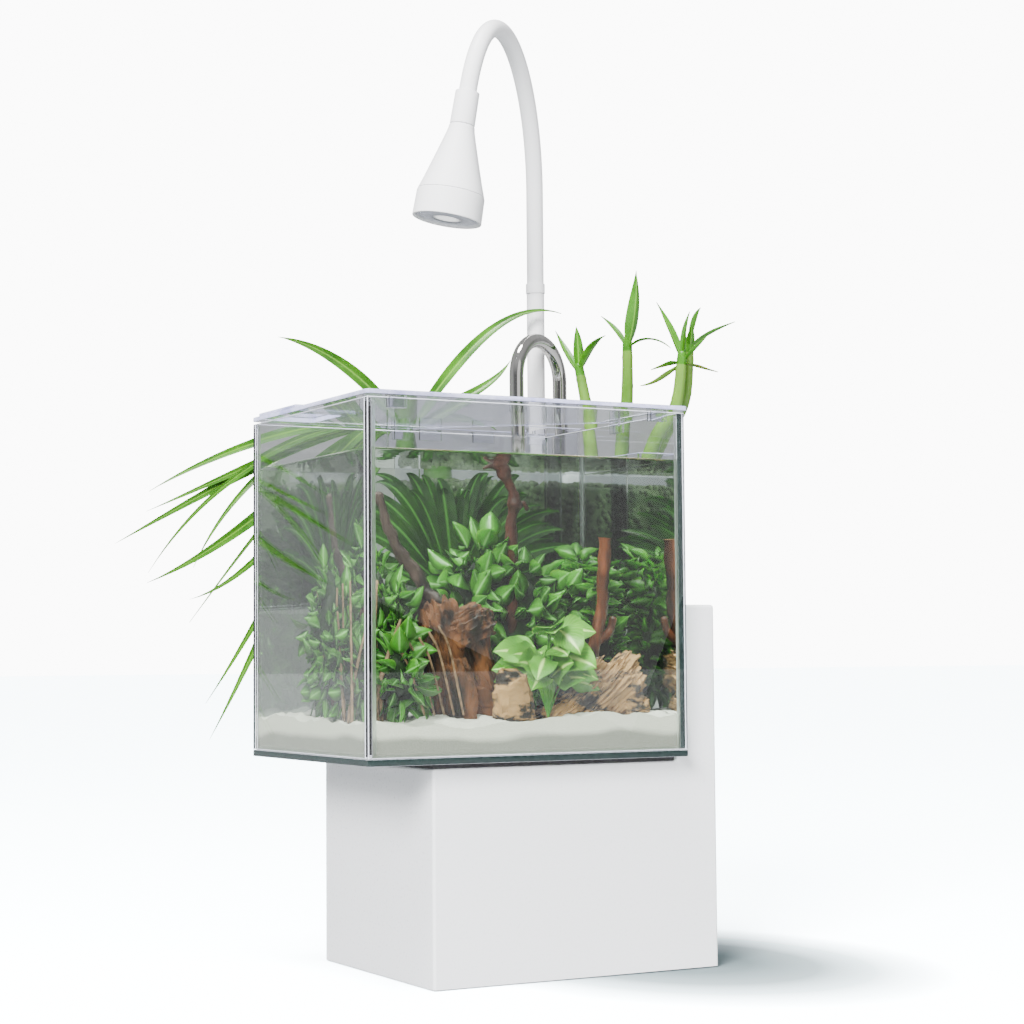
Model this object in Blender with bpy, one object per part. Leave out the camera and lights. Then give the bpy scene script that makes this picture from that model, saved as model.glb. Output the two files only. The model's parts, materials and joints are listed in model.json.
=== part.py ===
"""Small glass aquarium on a white L-shaped stand, with a planter behind it and a gooseneck lamp.

The stand is a low box with a narrow upright at its right end.  The tank sits on the deck of the
box, against the upright, and overhangs it at the left and at the front.  An L-shaped planter
trough stands on the upright and runs behind the tank.  A pump in the tank lifts water through a
steel hairpin pipe into the trough, and a chute lets it fall back.  The lamp stands in a socket in
the trough's corner.

Units are metres, +Z is up, -Y is the front.  The origin is the centre of the stand's underside.
"""

import math

import bmesh
import bpy
from mathutils import Vector

# ---------------------------------------------------------------- driving dimensions

GAP = 0.0003                 # between pieces that touch

STAND_LENGTH = 0.248
STAND_DEPTH = 0.195
BASE_HEIGHT = 0.161
UPRIGHT_HEIGHT = 0.282
UPRIGHT_THICKNESS = 0.037
PANEL = 0.008
PANEL_FOOT_GAP = 0.001       # shadow gap between the panels and the ground
PAD_THICKNESS = 0.004
PAD_INSET = 0.002

TANK_LENGTH = 0.270
TANK_DEPTH = 0.218
TANK_HEIGHT = 0.265
GLASS = 0.005
SEAL = 0.0025
MAT_THICKNESS = 0.0034
TANK_FRONT_OVERHANG = 0.020
TANK_TO_UPRIGHT = 0.002

LID_THICKNESS = 0.0035
LID_OVERHANG = 0.001
LID_RIGHT_OVERHANG = 0.003
LID_CUT_ALONG_BACK = 0.140   # how much of the back edge the cut corner takes
LID_CUT_ALONG_SIDE = 0.118   # how much of the right edge it takes
CLIP_WALL = 0.0012
CLIP_LENGTH = 0.014
CLIP_LEG = 0.008
FLAP_LENGTH = 0.055
FLAP_DEPTH = 0.074
FLAP_THICKNESS = 0.0025
FLAP_HOLE_MARGIN = 0.008
FLAP_FRONT_FROM_TANK_FRONT = 0.1355
HINGE_PIN_RADIUS = 0.0010
HINGE_BARREL_RADIUS = 0.0024
KNUCKLE_LENGTH = 0.012

TROUGH_WALL = 0.002
TROUGH_RIM_ABOVE_TANK = 0.010
TROUGH_REAR_DEPTH = 0.052
TROUGH_LEFT_X = -0.065
TROUGH_SIDE_FRONT_Y = -0.050
TROUGH_SIDE_RIM_BELOW_TANK = 0.025
TROUGH_TO_TANK = 0.0035      # behind the back pane
TROUGH_TO_SIDE_PANE = 0.0025
MEDIA_BELOW_RIM = 0.052
CHUTE_X = 0.0674
CHUTE_WIDTH = 0.0185
CHUTE_WALL = 0.0012
CHUTE_SIDE_HEIGHT = 0.005
HOOK_WIDTH = 0.020
HOOK_PLACES = (-0.030, 0.020)

PIPE_RADIUS = 0.0061
PIPE_FRONT = (0.0482, 0.0850)      # the leg inside the tank
PIPE_SPAN = 0.068
PIPE_HEADING = math.radians(27.6)  # of the back leg, from +X towards +Y
PIPE_APEX_ABOVE_TANK = 0.0840
PIPE_FRONT_END_BELOW_RIM = 0.030
PIPE_BACK_END_ABOVE_MEDIA = 0.004
HOSE_WALL = 0.0012
PUMP_LENGTH = 0.036
PUMP_DEPTH = 0.0325
PUMP_HEIGHT = 0.038
PUMP_CHAMBER_RADIUS = 0.0110
PUMP_CHAMBER_DEPTH = 0.0140
IMPELLER_RADIUS = 0.0092
IMPELLER_WIDTH = 0.0080
PUMP_COVER = 0.0035
SAND_TO_PUMP = 0.0003

LAMP_X, LAMP_Y = 0.0925, 0.1300
STEM_RADIUS = 0.00775
STEM_TOP = 0.5600
NECK_RADIUS = 0.0074
NECK_BEND_START = 0.6487
NECK_RISE = 0.1204
NECK_FALL = 0.1170
HEAD_TOP = (-0.0226, 0.0355, 0.7052)
HEAD_AXIS = (-0.1520, 0.0648, -0.9863)
NECK_JOINT_GAP = 0.0034
NECK_LOW_JOINT = 0.6000
NECK_MIDDLE_SHARE = 0.46     # of the bend, where the middle joint is
SOCKET_WALL = 0.0030
SOCKET_ABOVE_MEDIA = 0.007
COLLAR_RADIUS = 0.0100
COLLAR_LENGTH = 0.0280
SHADE_LENGTH = 0.0575
SHADE_RADIUS = 0.0277
RIM_LENGTH = 0.0220
RIM_RADIUS = 0.0287
HEAD_WALL = 0.0018

SAND_DEPTH = 0.0260
STALK_FOOT = 0.008

# ---------------------------------------------------------------- places that follow from them

stand_x0, stand_x1 = -STAND_LENGTH / 2, STAND_LENGTH / 2
stand_y0, stand_y1 = -STAND_DEPTH / 2, STAND_DEPTH / 2
upright_x0 = stand_x1 - UPRIGHT_THICKNESS

tank_x1 = upright_x0 - TANK_TO_UPRIGHT
tank_x0 = tank_x1 - TANK_LENGTH
tank_y0 = stand_y0 - TANK_FRONT_OVERHANG
tank_y1 = tank_y0 + TANK_DEPTH
tank_z0 = BASE_HEIGHT + GAP + MAT_THICKNESS + GAP
tank_z1 = tank_z0 + TANK_HEIGHT
inside_x0, inside_x1 = tank_x0 + GLASS, tank_x1 - GLASS
inside_y0, inside_y1 = tank_y0 + GLASS, tank_y1 - GLASS
inside_z0 = tank_z0 + GLASS
sand_top = inside_z0 + GAP + SAND_DEPTH

lid_z0 = tank_z1 + GAP + CLIP_WALL + GAP
lid_z1 = lid_z0 + LID_THICKNESS

trough_z0 = UPRIGHT_HEIGHT + GAP
trough_z1 = tank_z1 + TROUGH_RIM_ABOVE_TANK
trough_x1 = stand_x1
trough_y0 = tank_y1 + TROUGH_TO_TANK
trough_y1 = trough_y0 + TROUGH_REAR_DEPTH
trough_side_x0 = tank_x1 + TROUGH_TO_SIDE_PANE
trough_floor = trough_z0 + TROUGH_WALL
trough_side_z1 = tank_z1 - TROUGH_SIDE_RIM_BELOW_TANK
media_top = trough_z1 - MEDIA_BELOW_RIM

head_origin = Vector(HEAD_TOP)
head_axis = Vector(HEAD_AXIS).normalized()
shade_start = COLLAR_LENGTH + GAP
shade_end = shade_start + SHADE_LENGTH
rim_start = shade_end + GAP
rim_end = rim_start + RIM_LENGTH


# ---------------------------------------------------------------- tools

def clear_scene():
    for thing in list(bpy.data.objects):
        bpy.data.objects.remove(thing, do_unlink=True)


def material(name, colour, roughness, metallic=0.0, alpha=1.0):
    made = bpy.data.materials.new(name)
    made.use_nodes = True
    shader = made.node_tree.nodes["Principled BSDF"]
    shader.inputs["Base Color"].default_value = (*colour, 1.0)
    shader.inputs["Roughness"].default_value = roughness
    shader.inputs["Metallic"].default_value = metallic
    shader.inputs["Alpha"].default_value = alpha
    return made


def finish(name, shape, place, look, smooth=False):
    """Turn a bmesh, drawn around its own origin, into an object at a place."""
    bmesh.ops.recalc_face_normals(shape, faces=shape.faces)
    mesh = bpy.data.meshes.new(name)
    shape.to_mesh(mesh)
    shape.free()
    if smooth:
        mesh.shade_smooth()
        mesh.set_sharp_from_angle(angle=math.radians(35))
    mesh.materials.append(look)
    thing = bpy.data.objects.new(name, mesh)
    thing.location = place
    bpy.context.scene.collection.objects.link(thing)
    return thing


def block(name, low, high, look, round_edges=0.0):
    low, high = Vector(low), Vector(high)
    shape = bmesh.new()
    bmesh.ops.create_cube(shape, size=1.0)
    bmesh.ops.scale(shape, vec=high - low, verts=shape.verts)
    thing = finish(name, shape, (low + high) / 2, look)
    if round_edges:
        bevel = thing.modifiers.new("rounded_edges", "BEVEL")
        bevel.width = round_edges
        bevel.segments = 2
    return thing


def plate(name, outline, start, end, look, axis="Z"):
    """Extrude an outline.  axis Z takes (x, y) points, axis Y (x, z) points, axis X (y, z)."""
    def lift(point, along):
        a, b = point
        return {"Z": (a, b, along), "Y": (a, along, b), "X": (along, a, b)}[axis]

    shape = bmesh.new()
    bottom = [shape.verts.new(lift(p, start)) for p in outline]
    top = [shape.verts.new(lift(p, end)) for p in outline]
    shape.faces.new(bottom)
    shape.faces.new(top)
    for i, _ in enumerate(outline):
        j = (i + 1) % len(outline)
        shape.faces.new((bottom[i], bottom[j], top[j], top[i]))
    return finish(name, shape, (0, 0, 0), look)


def turned(name, profile, place, look, direction=(0, 0, 1), sides=24):
    """Turn a closed (radius, height) profile about a line through place along direction."""
    turn = Vector((0, 0, 1)).rotation_difference(Vector(direction)).to_matrix()
    shape = bmesh.new()
    rings = []
    for radius, height in profile:
        if radius == 0:
            rings.append([shape.verts.new(turn @ Vector((0, 0, height)))] * sides)
            continue
        ring = []
        for i in range(sides):
            angle = 2 * math.pi * i / sides
            spot = Vector((radius * math.cos(angle), radius * math.sin(angle), height))
            ring.append(shape.verts.new(turn @ spot))
        rings.append(ring)
    for k, ring in enumerate(rings):
        following = rings[(k + 1) % len(rings)]
        for i in range(sides):
            j = (i + 1) % sides
            corners = []
            for vertex in (ring[i], ring[j], following[j], following[i]):
                if vertex not in corners:
                    corners.append(vertex)
            if len(corners) > 2:
                shape.faces.new(corners)
    return finish(name, shape, place, look, smooth=True)


def disc_profile(radius, bottom, top):
    return [(0, bottom), (radius, bottom), (radius, top), (0, top)]


def ring_profile(inner, outer, bottom, top):
    return [(inner, bottom), (outer, bottom), (outer, top), (inner, top)]


def frame_along(points, index):
    """Direction of travel at a point of a path, and two directions across it."""
    before = points[max(index - 1, 0)]
    after = points[min(index + 1, len(points) - 1)]
    ahead = (after - before).normalized()
    side = ahead.cross(Vector((0, 0, 1)))
    if side.length < 1e-4:
        side = Vector((1, 0, 0))
    side.normalize()
    return ahead, side, side.cross(ahead)


def swept(name, points, sections, look, smooth=True):
    """Sweep rings along a path.  Each section is (half width, half thickness)."""
    corners = 8 if smooth else 4
    shape = bmesh.new()
    rings = []
    for k, (half_width, half_thickness) in enumerate(sections):
        _, side, rise = frame_along(points, k)
        ring = []
        for i in range(corners):
            angle = 2 * math.pi * i / corners
            spot = points[k] + side * half_width * math.cos(angle)
            ring.append(shape.verts.new(spot + rise * half_thickness * math.sin(angle)))
        rings.append(ring)
    for first, second in zip(rings, rings[1:]):
        for i in range(corners):
            j = (i + 1) % corners
            shape.faces.new((first[i], first[j], second[j], second[i]))
    shape.faces.new(rings[0])
    shape.faces.new(rings[-1])
    return finish(name, shape, (0, 0, 0), look, smooth)


def tube(name, points, radius, look, resolution=4):
    """A round bar along a path of points."""
    curve = bpy.data.curves.new(name, "CURVE")
    curve.dimensions = "3D"
    curve.bevel_depth = radius
    curve.bevel_resolution = resolution
    curve.use_fill_caps = True
    spline = curve.splines.new("POLY")
    spline.points.add(len(points) - 1)
    for slot, spot in zip(spline.points, points):
        slot.co = (*spot, 1.0)
    curve.materials.append(look)
    thing = bpy.data.objects.new(name, curve)
    bpy.context.scene.collection.objects.link(thing)
    return thing


def helper(thing):
    thing.hide_render = True
    thing.display_type = "WIRE"
    return thing


def cut(thing, *cutters):
    for cutter in cutters:
        helper(cutter)
        change = thing.modifiers.new(cutter.name, "BOOLEAN")
        change.operation = "DIFFERENCE"
        change.solver = "EXACT"
        change.object = cutter
    return thing


def join(thing, *others):
    """Union in other solids, so that the object stays one body."""
    for other in others:
        helper(other)
        change = thing.modifiers.new(other.name, "BOOLEAN")
        change.operation = "UNION"
        change.solver = "EXACT"
        change.object = other
    return thing


def on_curve(controls, share):
    """Point on the Bezier curve that these control points draw."""
    points = [Vector(p) for p in controls]
    while len(points) > 1:
        points = [a.lerp(b, share) for a, b in zip(points, points[1:])]
    return points[0]


def leaf(name, controls, half_width, look, steps=6, half_thickness=0.0009):
    """A strap leaf along a Bezier curve, widest just before its middle."""
    points = [on_curve(controls, k / steps) for k in range(steps + 1)]
    sections = []
    for k in range(steps + 1):
        share = k / steps
        width = half_width * (0.55 + 1.9 * share - 2.3 * share * share)
        sections.append((max(width, 0.0006), half_thickness))
    return swept(name, points, sections, look, smooth=False)


def mound(name, low, high, look, bumps=0.10):
    """A rounded, lumpy solid with a flat foot that fills a box."""
    low, high = Vector(low), Vector(high)
    shape = bmesh.new()
    bmesh.ops.create_icosphere(shape, subdivisions=2, radius=1.0)
    for vertex in shape.verts:
        x, y, z = vertex.co
        wave = math.sin(5 * x + 2 * z) * math.cos(4 * y - 3 * z)
        vertex.co *= 1 + bumps * wave
        vertex.co.z = max(vertex.co.z, -0.55)
    smallest = [min(v.co[i] for v in shape.verts) for i in range(3)]
    largest = [max(v.co[i] for v in shape.verts) for i in range(3)]
    for vertex in shape.verts:
        for i in range(3):
            share = (vertex.co[i] - smallest[i]) / (largest[i] - smallest[i])
            vertex.co[i] = (share - 0.5) * (high[i] - low[i])
    return finish(name, shape, (low + high) / 2, look)


def pivot(name, place):
    axis_point = bpy.data.objects.new(name, None)
    axis_point.empty_display_size = 0.02
    axis_point.location = place
    bpy.context.scene.collection.objects.link(axis_point)
    return axis_point


def hang_on(parent, *children):
    """Parent objects to a pivot and leave them where they are."""
    bpy.context.view_layer.update()
    for child in children:
        child.parent = parent
        child.matrix_parent_inverse = parent.matrix_world.inverted()


# ---------------------------------------------------------------- looks

white_lacquer = material("white_lacquer", (0.86, 0.87, 0.88), 0.30)
board_core = material("board_core", (0.70, 0.66, 0.58), 0.70)
black_rubber = material("black_rubber", (0.03, 0.03, 0.03), 0.85)
clear_glass = material("clear_glass", (0.80, 0.90, 0.88), 0.02, alpha=0.30)
clear_plastic = material("clear_plastic", (0.86, 0.90, 0.97), 0.08, alpha=0.40)
silicone = material("silicone", (0.75, 0.78, 0.78), 0.40, alpha=0.60)
steel = material("steel", (0.62, 0.60, 0.57), 0.18, metallic=1.0)
white_plastic = material("white_plastic", (0.88, 0.88, 0.88), 0.38)
black_plastic = material("black_plastic", (0.04, 0.04, 0.045), 0.45)
bright_reflector = material("bright_reflector", (0.90, 0.90, 0.92), 0.12, metallic=1.0)
white_sand = material("white_sand", (0.82, 0.80, 0.75), 0.90)
brown_wood = material("brown_wood", (0.24, 0.12, 0.06), 0.80)
tan_stone = material("tan_stone", (0.47, 0.36, 0.24), 0.85)
clay_pebbles = material("clay_pebbles", (0.38, 0.20, 0.12), 0.90)
leaf_green = material("leaf_green", (0.10, 0.33, 0.05), 0.50)
stalk_green = material("stalk_green", (0.35, 0.55, 0.12), 0.45)


# ---------------------------------------------------------------- stand

def l_outline():
    """The stand's front view, from the shadow gap up."""
    return [
        (stand_x0, PANEL_FOOT_GAP),
        (stand_x1, PANEL_FOOT_GAP),
        (stand_x1, UPRIGHT_HEIGHT),
        (upright_x0 + GAP, UPRIGHT_HEIGHT),
        (upright_x0 + GAP, BASE_HEIGHT),
        (stand_x0, BASE_HEIGHT),
    ]


def make_stand():
    y0, y1 = stand_y0 + PANEL + GAP, stand_y1 - PANEL - GAP
    x0, x1 = stand_x0 + PANEL + GAP, stand_x1 - PANEL - GAP
    floor_z0 = PAD_THICKNESS + GAP
    floor_z1 = floor_z0 + PANEL
    divider_x0 = upright_x0 + GAP
    divider_x1 = divider_x0 + PANEL

    plate("front_panel", l_outline(), stand_y0, stand_y0 + PANEL, white_lacquer, "Y")
    back = plate("back_panel", l_outline(), stand_y1 - PANEL, stand_y1, white_lacquer, "Y")
    inlet_place = ((stand_x0 + stand_x1) / 2, stand_y1, 0.040)
    hole = turned("inlet_hole", disc_profile(0.0046, -2 * PANEL, PANEL), inlet_place,
                  board_core, (0, 1, 0))
    cut(back, hole)
    block("left_panel", (stand_x0, y0, PANEL_FOOT_GAP), (stand_x0 + PANEL, y1, BASE_HEIGHT),
          white_lacquer)
    block("right_panel", (stand_x1 - PANEL, y0, PANEL_FOOT_GAP),
          (stand_x1, y1, UPRIGHT_HEIGHT), white_lacquer)
    block("upright_inner_panel", (divider_x0, y0, floor_z1 + GAP),
          (divider_x1, y1, UPRIGHT_HEIGHT), white_lacquer)
    block("deck_panel", (x0, y0, BASE_HEIGHT - PANEL), (divider_x0 - GAP, y1, BASE_HEIGHT),
          white_lacquer)
    block("upright_cap", (divider_x1 + GAP, y0, UPRIGHT_HEIGHT - PANEL),
          (x1, y1, UPRIGHT_HEIGHT), white_lacquer)
    block("floor_panel", (x0, y0, floor_z0), (x1, y1, floor_z1), board_core)
    edge = PANEL + PAD_INSET
    block("base_pad", (stand_x0 + edge, stand_y0 + edge, 0),
          (stand_x1 - edge, stand_y1 - edge, PAD_THICKNESS), black_rubber)
    block("power_unit", (-0.045, 0.010, floor_z1 + GAP), (0.045, 0.065, floor_z1 + 0.035),
          black_plastic, 0.003)
    socket = [(0, -0.018), (0.0043, -0.018), (0.0043, GAP), (0.0075, GAP), (0.0075, 0.0022),
              (0.0026, 0.0022), (0.0026, -0.008), (0, -0.008)]
    turned("power_inlet", socket, inlet_place, black_plastic, (0, 1, 0), 20)
    block("tank_mat", (stand_x0, stand_y0, BASE_HEIGHT + GAP),
          (tank_x1, tank_y1, BASE_HEIGHT + GAP + MAT_THICKNESS), black_rubber)


# ---------------------------------------------------------------- tank

def make_tank():
    wall_z0 = inside_z0 + GAP
    block("tank_bottom", (tank_x0, tank_y0, tank_z0), (tank_x1, tank_y1, inside_z0),
          clear_glass)
    block("tank_front", (tank_x0, tank_y0, wall_z0), (tank_x1, inside_y0, tank_z1), clear_glass)
    block("tank_back", (tank_x0, inside_y1, wall_z0), (tank_x1, tank_y1, tank_z1), clear_glass)
    side_y0, side_y1 = inside_y0 + GAP, inside_y1 - GAP
    block("tank_left", (tank_x0, side_y0, wall_z0), (inside_x0, side_y1, tank_z1), clear_glass)
    block("tank_right", (inside_x1, side_y0, wall_z0), (tank_x1, side_y1, tank_z1), clear_glass)

    x0, x1 = inside_x0 + GAP, inside_x1 - GAP
    y0, y1 = inside_y0 + GAP, inside_y1 - GAP
    seal = block("silicone_seal", (x0, y0, wall_z0), (x1, y1, wall_z0 + SEAL), silicone)
    inner = block("seal_middle", (x0 + SEAL, y0 + SEAL, wall_z0 - SEAL),
                  (x1 - SEAL, y1 - SEAL, wall_z0 + 2 * SEAL), silicone)
    cut(seal, inner)
    for i, (x, along) in enumerate(((x0, 1), (x1, -1))):
        for j, (y, across) in enumerate(((y0, 1), (y1, -1))):
            corner = [(x, y), (x + along * SEAL, y), (x, y + across * SEAL)]
            bead = plate(f"corner_bead_{i}{j}", corner, wall_z0 + SEAL / 2, tank_z1 - SEAL,
                         silicone)
            join(seal, bead)
    edge = SEAL + GAP
    block("sand_bed", (x0 + edge, y0 + edge, inside_z0 + GAP), (x1 - edge, y1 - edge, sand_top),
          white_sand)


# ---------------------------------------------------------------- lid

def clip(name, centre, along_x, pane_thickness, look):
    """A clear U that rides on a pane's rim and carries the lid."""
    half = pane_thickness / 2 + GAP
    outer = half + CLIP_WALL
    roof = tank_z1 + GAP
    outline = [(-outer, roof - CLIP_LEG), (-half, roof - CLIP_LEG), (-half, roof),
               (half, roof), (half, roof - CLIP_LEG), (outer, roof - CLIP_LEG),
               (outer, roof + CLIP_WALL), (-outer, roof + CLIP_WALL)]
    across = 1 if along_x else 0
    start = centre[1 - across] - CLIP_LENGTH / 2
    shifted = [(a + centre[across], z) for a, z in outline]
    axis = "X" if along_x else "Y"
    return plate(name, shifted, start, start + CLIP_LENGTH, look, axis)


def make_lid():
    x0, x1 = tank_x0 - LID_OVERHANG, tank_x1 + LID_RIGHT_OVERHANG
    y0, y1 = tank_y0 - LID_OVERHANG, tank_y1
    outline = [(x0, y0), (x1, y0), (x1, y1 - LID_CUT_ALONG_SIDE),
               (x1 - LID_CUT_ALONG_BACK, y1), (x0, y1)]
    lid = plate("lid_plate", outline, lid_z0, lid_z1, clear_plastic)

    flap_x0 = tank_x0 + 0.0015
    flap_x1 = flap_x0 + FLAP_LENGTH
    flap_y0 = tank_y0 + FLAP_FRONT_FROM_TANK_FRONT
    flap_y1 = flap_y0 + FLAP_DEPTH
    pin_x = flap_x1 + HINGE_BARREL_RADIUS + 0.0010
    pin_z = lid_z1 + GAP + HINGE_BARREL_RADIUS
    bore = HINGE_PIN_RADIUS + GAP
    hole = block("feeding_hole", (flap_x0 + FLAP_HOLE_MARGIN, flap_y0 + FLAP_HOLE_MARGIN,
                                  lid_z0 - 0.01),
                 (flap_x1 - FLAP_HOLE_MARGIN, flap_y1 - FLAP_HOLE_MARGIN, lid_z1 + 0.01),
                 clear_plastic)
    cut(lid, hole)
    for i, y in enumerate((flap_y0, flap_y1 - KNUCKLE_LENGTH)):
        barrel = turned(f"lid_knuckle_{i}",
                        ring_profile(bore, HINGE_BARREL_RADIUS, 0, KNUCKLE_LENGTH),
                        (pin_x, y, pin_z), clear_plastic, (0, 1, 0), 12)
        foot = block(f"lid_knuckle_foot_{i}", (pin_x + 0.0017, y + 0.0010, lid_z0 + 0.001),
                     (pin_x + 0.0042, y + KNUCKLE_LENGTH - 0.0010, pin_z - 0.0004),
                     clear_plastic)
        join(foot, barrel)
        join(lid, foot)

    flap = block("feeding_flap", (flap_x0, flap_y0, lid_z1 + GAP),
                 (flap_x1, flap_y1, lid_z1 + GAP + FLAP_THICKNESS), clear_plastic)
    flap_knuckle = turned("flap_knuckle",
                          ring_profile(bore, HINGE_BARREL_RADIUS, 0,
                                       FLAP_DEPTH - 2 * KNUCKLE_LENGTH - 2 * GAP),
                          (pin_x, flap_y0 + KNUCKLE_LENGTH + GAP, pin_z), clear_plastic,
                          (0, 1, 0), 12)
    web = block("flap_web", (flap_x1 - 0.001, flap_y0 + KNUCKLE_LENGTH + 0.0020,
                             lid_z1 + GAP + 0.0003),
                (pin_x - bore - 0.0003, flap_y1 - KNUCKLE_LENGTH - 0.0020, pin_z - 0.0006),
                clear_plastic)
    join(flap, web, flap_knuckle)
    turned("flap_pin", disc_profile(HINGE_PIN_RADIUS, 0, FLAP_DEPTH), (pin_x, flap_y0, pin_z),
           steel, (0, 1, 0), 12)
    hang_on(pivot("flap_hinge", (pin_x, (flap_y0 + flap_y1) / 2, pin_z)), flap, web,
            flap_knuckle)

    front_y = tank_y0 + GLASS / 2
    back_y = tank_y1 - GLASS / 2
    side_x = tank_x1 - GLASS / 2
    clip("lid_clip_front_left", (tank_x0 + 0.024, front_y), True, GLASS, clear_plastic)
    clip("lid_clip_front_right", (tank_x1 - 0.024, front_y), True, GLASS, clear_plastic)
    clip("lid_clip_back", (x1 - LID_CUT_ALONG_BACK - 0.004, back_y), True, GLASS, clear_plastic)
    clip("lid_clip_side", (side_x, y1 - LID_CUT_ALONG_SIDE - 0.004), False, GLASS,
         clear_plastic)


# ---------------------------------------------------------------- planter trough

def wing_outline(side, inset):
    """Plan of one wing of the trough.  The side wing's back wall is the rear wing's front wall."""
    if side:
        x0, x1 = trough_side_x0, trough_x1
        y0, y1 = TROUGH_SIDE_FRONT_Y, trough_y0 + TROUGH_WALL
    else:
        x0, x1 = TROUGH_LEFT_X, trough_x1
        y0, y1 = trough_y0, trough_y1
    return [(x0 + inset, y0 + inset), (x1 - inset, y0 + inset), (x1 - inset, y1 - inset),
            (x0 + inset, y1 - inset)]


def make_trough():
    trough = plate("planter_trough", wing_outline(False, 0), trough_z0, trough_z1,
                   clear_plastic)
    side_wing = plate("trough_side_wing", wing_outline(True, 0), trough_z0, trough_side_z1,
                      clear_plastic)
    join(trough, side_wing)
    hollow = plate("trough_hollow", wing_outline(False, TROUGH_WALL), trough_floor,
                   trough_z1 + 0.01, clear_plastic)
    side_hollow = plate("trough_side_hollow", wing_outline(True, TROUGH_WALL), trough_floor,
                        trough_z1 + 0.01, clear_plastic)
    notch_half = CHUTE_WIDTH / 2 + GAP
    hook_z0 = tank_z1 + GAP
    hook_z1 = hook_z0 + CLIP_WALL
    notch = block("chute_notch", (CHUTE_X - notch_half, trough_y0 - 0.01, hook_z0 - GAP),
                  (CHUTE_X + notch_half, trough_y0 + TROUGH_WALL + 0.001, trough_z1 + 0.01),
                  clear_plastic)
    cut(trough, hollow, side_hollow, notch)
    hook_y0 = inside_y1 - GAP - 0.0017
    for i, x in enumerate(HOOK_PLACES):
        outline = [(trough_y0 + TROUGH_WALL / 2, hook_z0), (trough_y0 + TROUGH_WALL / 2, hook_z1),
                   (hook_y0, hook_z1), (hook_y0, hook_z0 - CLIP_LEG),
                   (hook_y0 + 0.0017, hook_z0 - CLIP_LEG), (hook_y0 + 0.0017, hook_z0)]
        hook = plate(f"rim_hook_{i}", outline, x - HOOK_WIDTH / 2, x + HOOK_WIDTH / 2,
                     clear_plastic, "X")
        join(trough, hook)

    chute_y0 = inside_y1 - 0.007
    chute_y1 = trough_y0 + TROUGH_WALL + 0.004
    x0, x1 = CHUTE_X - CHUTE_WIDTH / 2, CHUTE_X + CHUTE_WIDTH / 2
    floor = block("overflow_chute", (x0, chute_y0, hook_z0), (x1, chute_y1, hook_z1),
                  clear_plastic)
    lip = block("chute_lip", (x0, chute_y0, hook_z0 - CLIP_LEG),
                (x1, chute_y0 + CHUTE_WALL, hook_z1 - CHUTE_WALL / 2), clear_plastic)
    walls = []
    for i, x in enumerate((x0, x1 - CHUTE_WALL)):
        walls.append(block(f"chute_side_{i}", (x, chute_y0, hook_z0 + CHUTE_WALL / 2),
                           (x + CHUTE_WALL, chute_y1, hook_z1 + CHUTE_SIDE_HEIGHT),
                           clear_plastic))
    join(floor, lip, *walls)

    socket_outer = STEM_RADIUS + GAP + SOCKET_WALL
    socket_top = media_top + SOCKET_ABOVE_MEDIA
    socket_place = (LAMP_X, LAMP_Y, 0)
    bore = STEM_RADIUS + GAP
    profile = [(0, trough_floor + GAP), (socket_outer, trough_floor + GAP),
               (socket_outer, socket_top), (bore, socket_top),
               (bore, trough_floor + SOCKET_WALL), (0, trough_floor + SOCKET_WALL)]
    turned("lamp_socket", profile, socket_place, white_plastic)

    inset = TROUGH_WALL + GAP
    media = plate("planter_media", wing_outline(False, inset), trough_floor + GAP, media_top,
                  clay_pebbles)
    plate("side_media", wing_outline(True, inset), trough_floor + GAP, media_top, clay_pebbles)
    socket_hole = turned("media_socket_hole",
                         disc_profile(socket_outer + GAP, trough_floor - 0.01,
                                      trough_z1 + 0.01), socket_place, clay_pebbles)
    cut(media, socket_hole)


# ---------------------------------------------------------------- pump and pipe

def hairpin_points():
    """Centre line of the steel pipe: up, over in a half circle, and down."""
    heading = Vector((math.cos(PIPE_HEADING), math.sin(PIPE_HEADING), 0))
    bend = PIPE_SPAN / 2
    front = Vector((*PIPE_FRONT, 0))
    centre_z = tank_z1 + PIPE_APEX_ABOVE_TANK - bend
    points = [front + Vector((0, 0, tank_z1 - PIPE_FRONT_END_BELOW_RIM))]
    turns = 14
    for k in range(turns + 1):
        angle = math.pi * k / turns
        reach = bend * (1 - math.cos(angle))
        points.append(front + heading * reach + Vector((0, 0, centre_z + bend * math.sin(angle))))
    back = front + heading * PIPE_SPAN
    points.append(back + Vector((0, 0, media_top + PIPE_BACK_END_ABOVE_MEDIA)))
    return points


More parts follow.
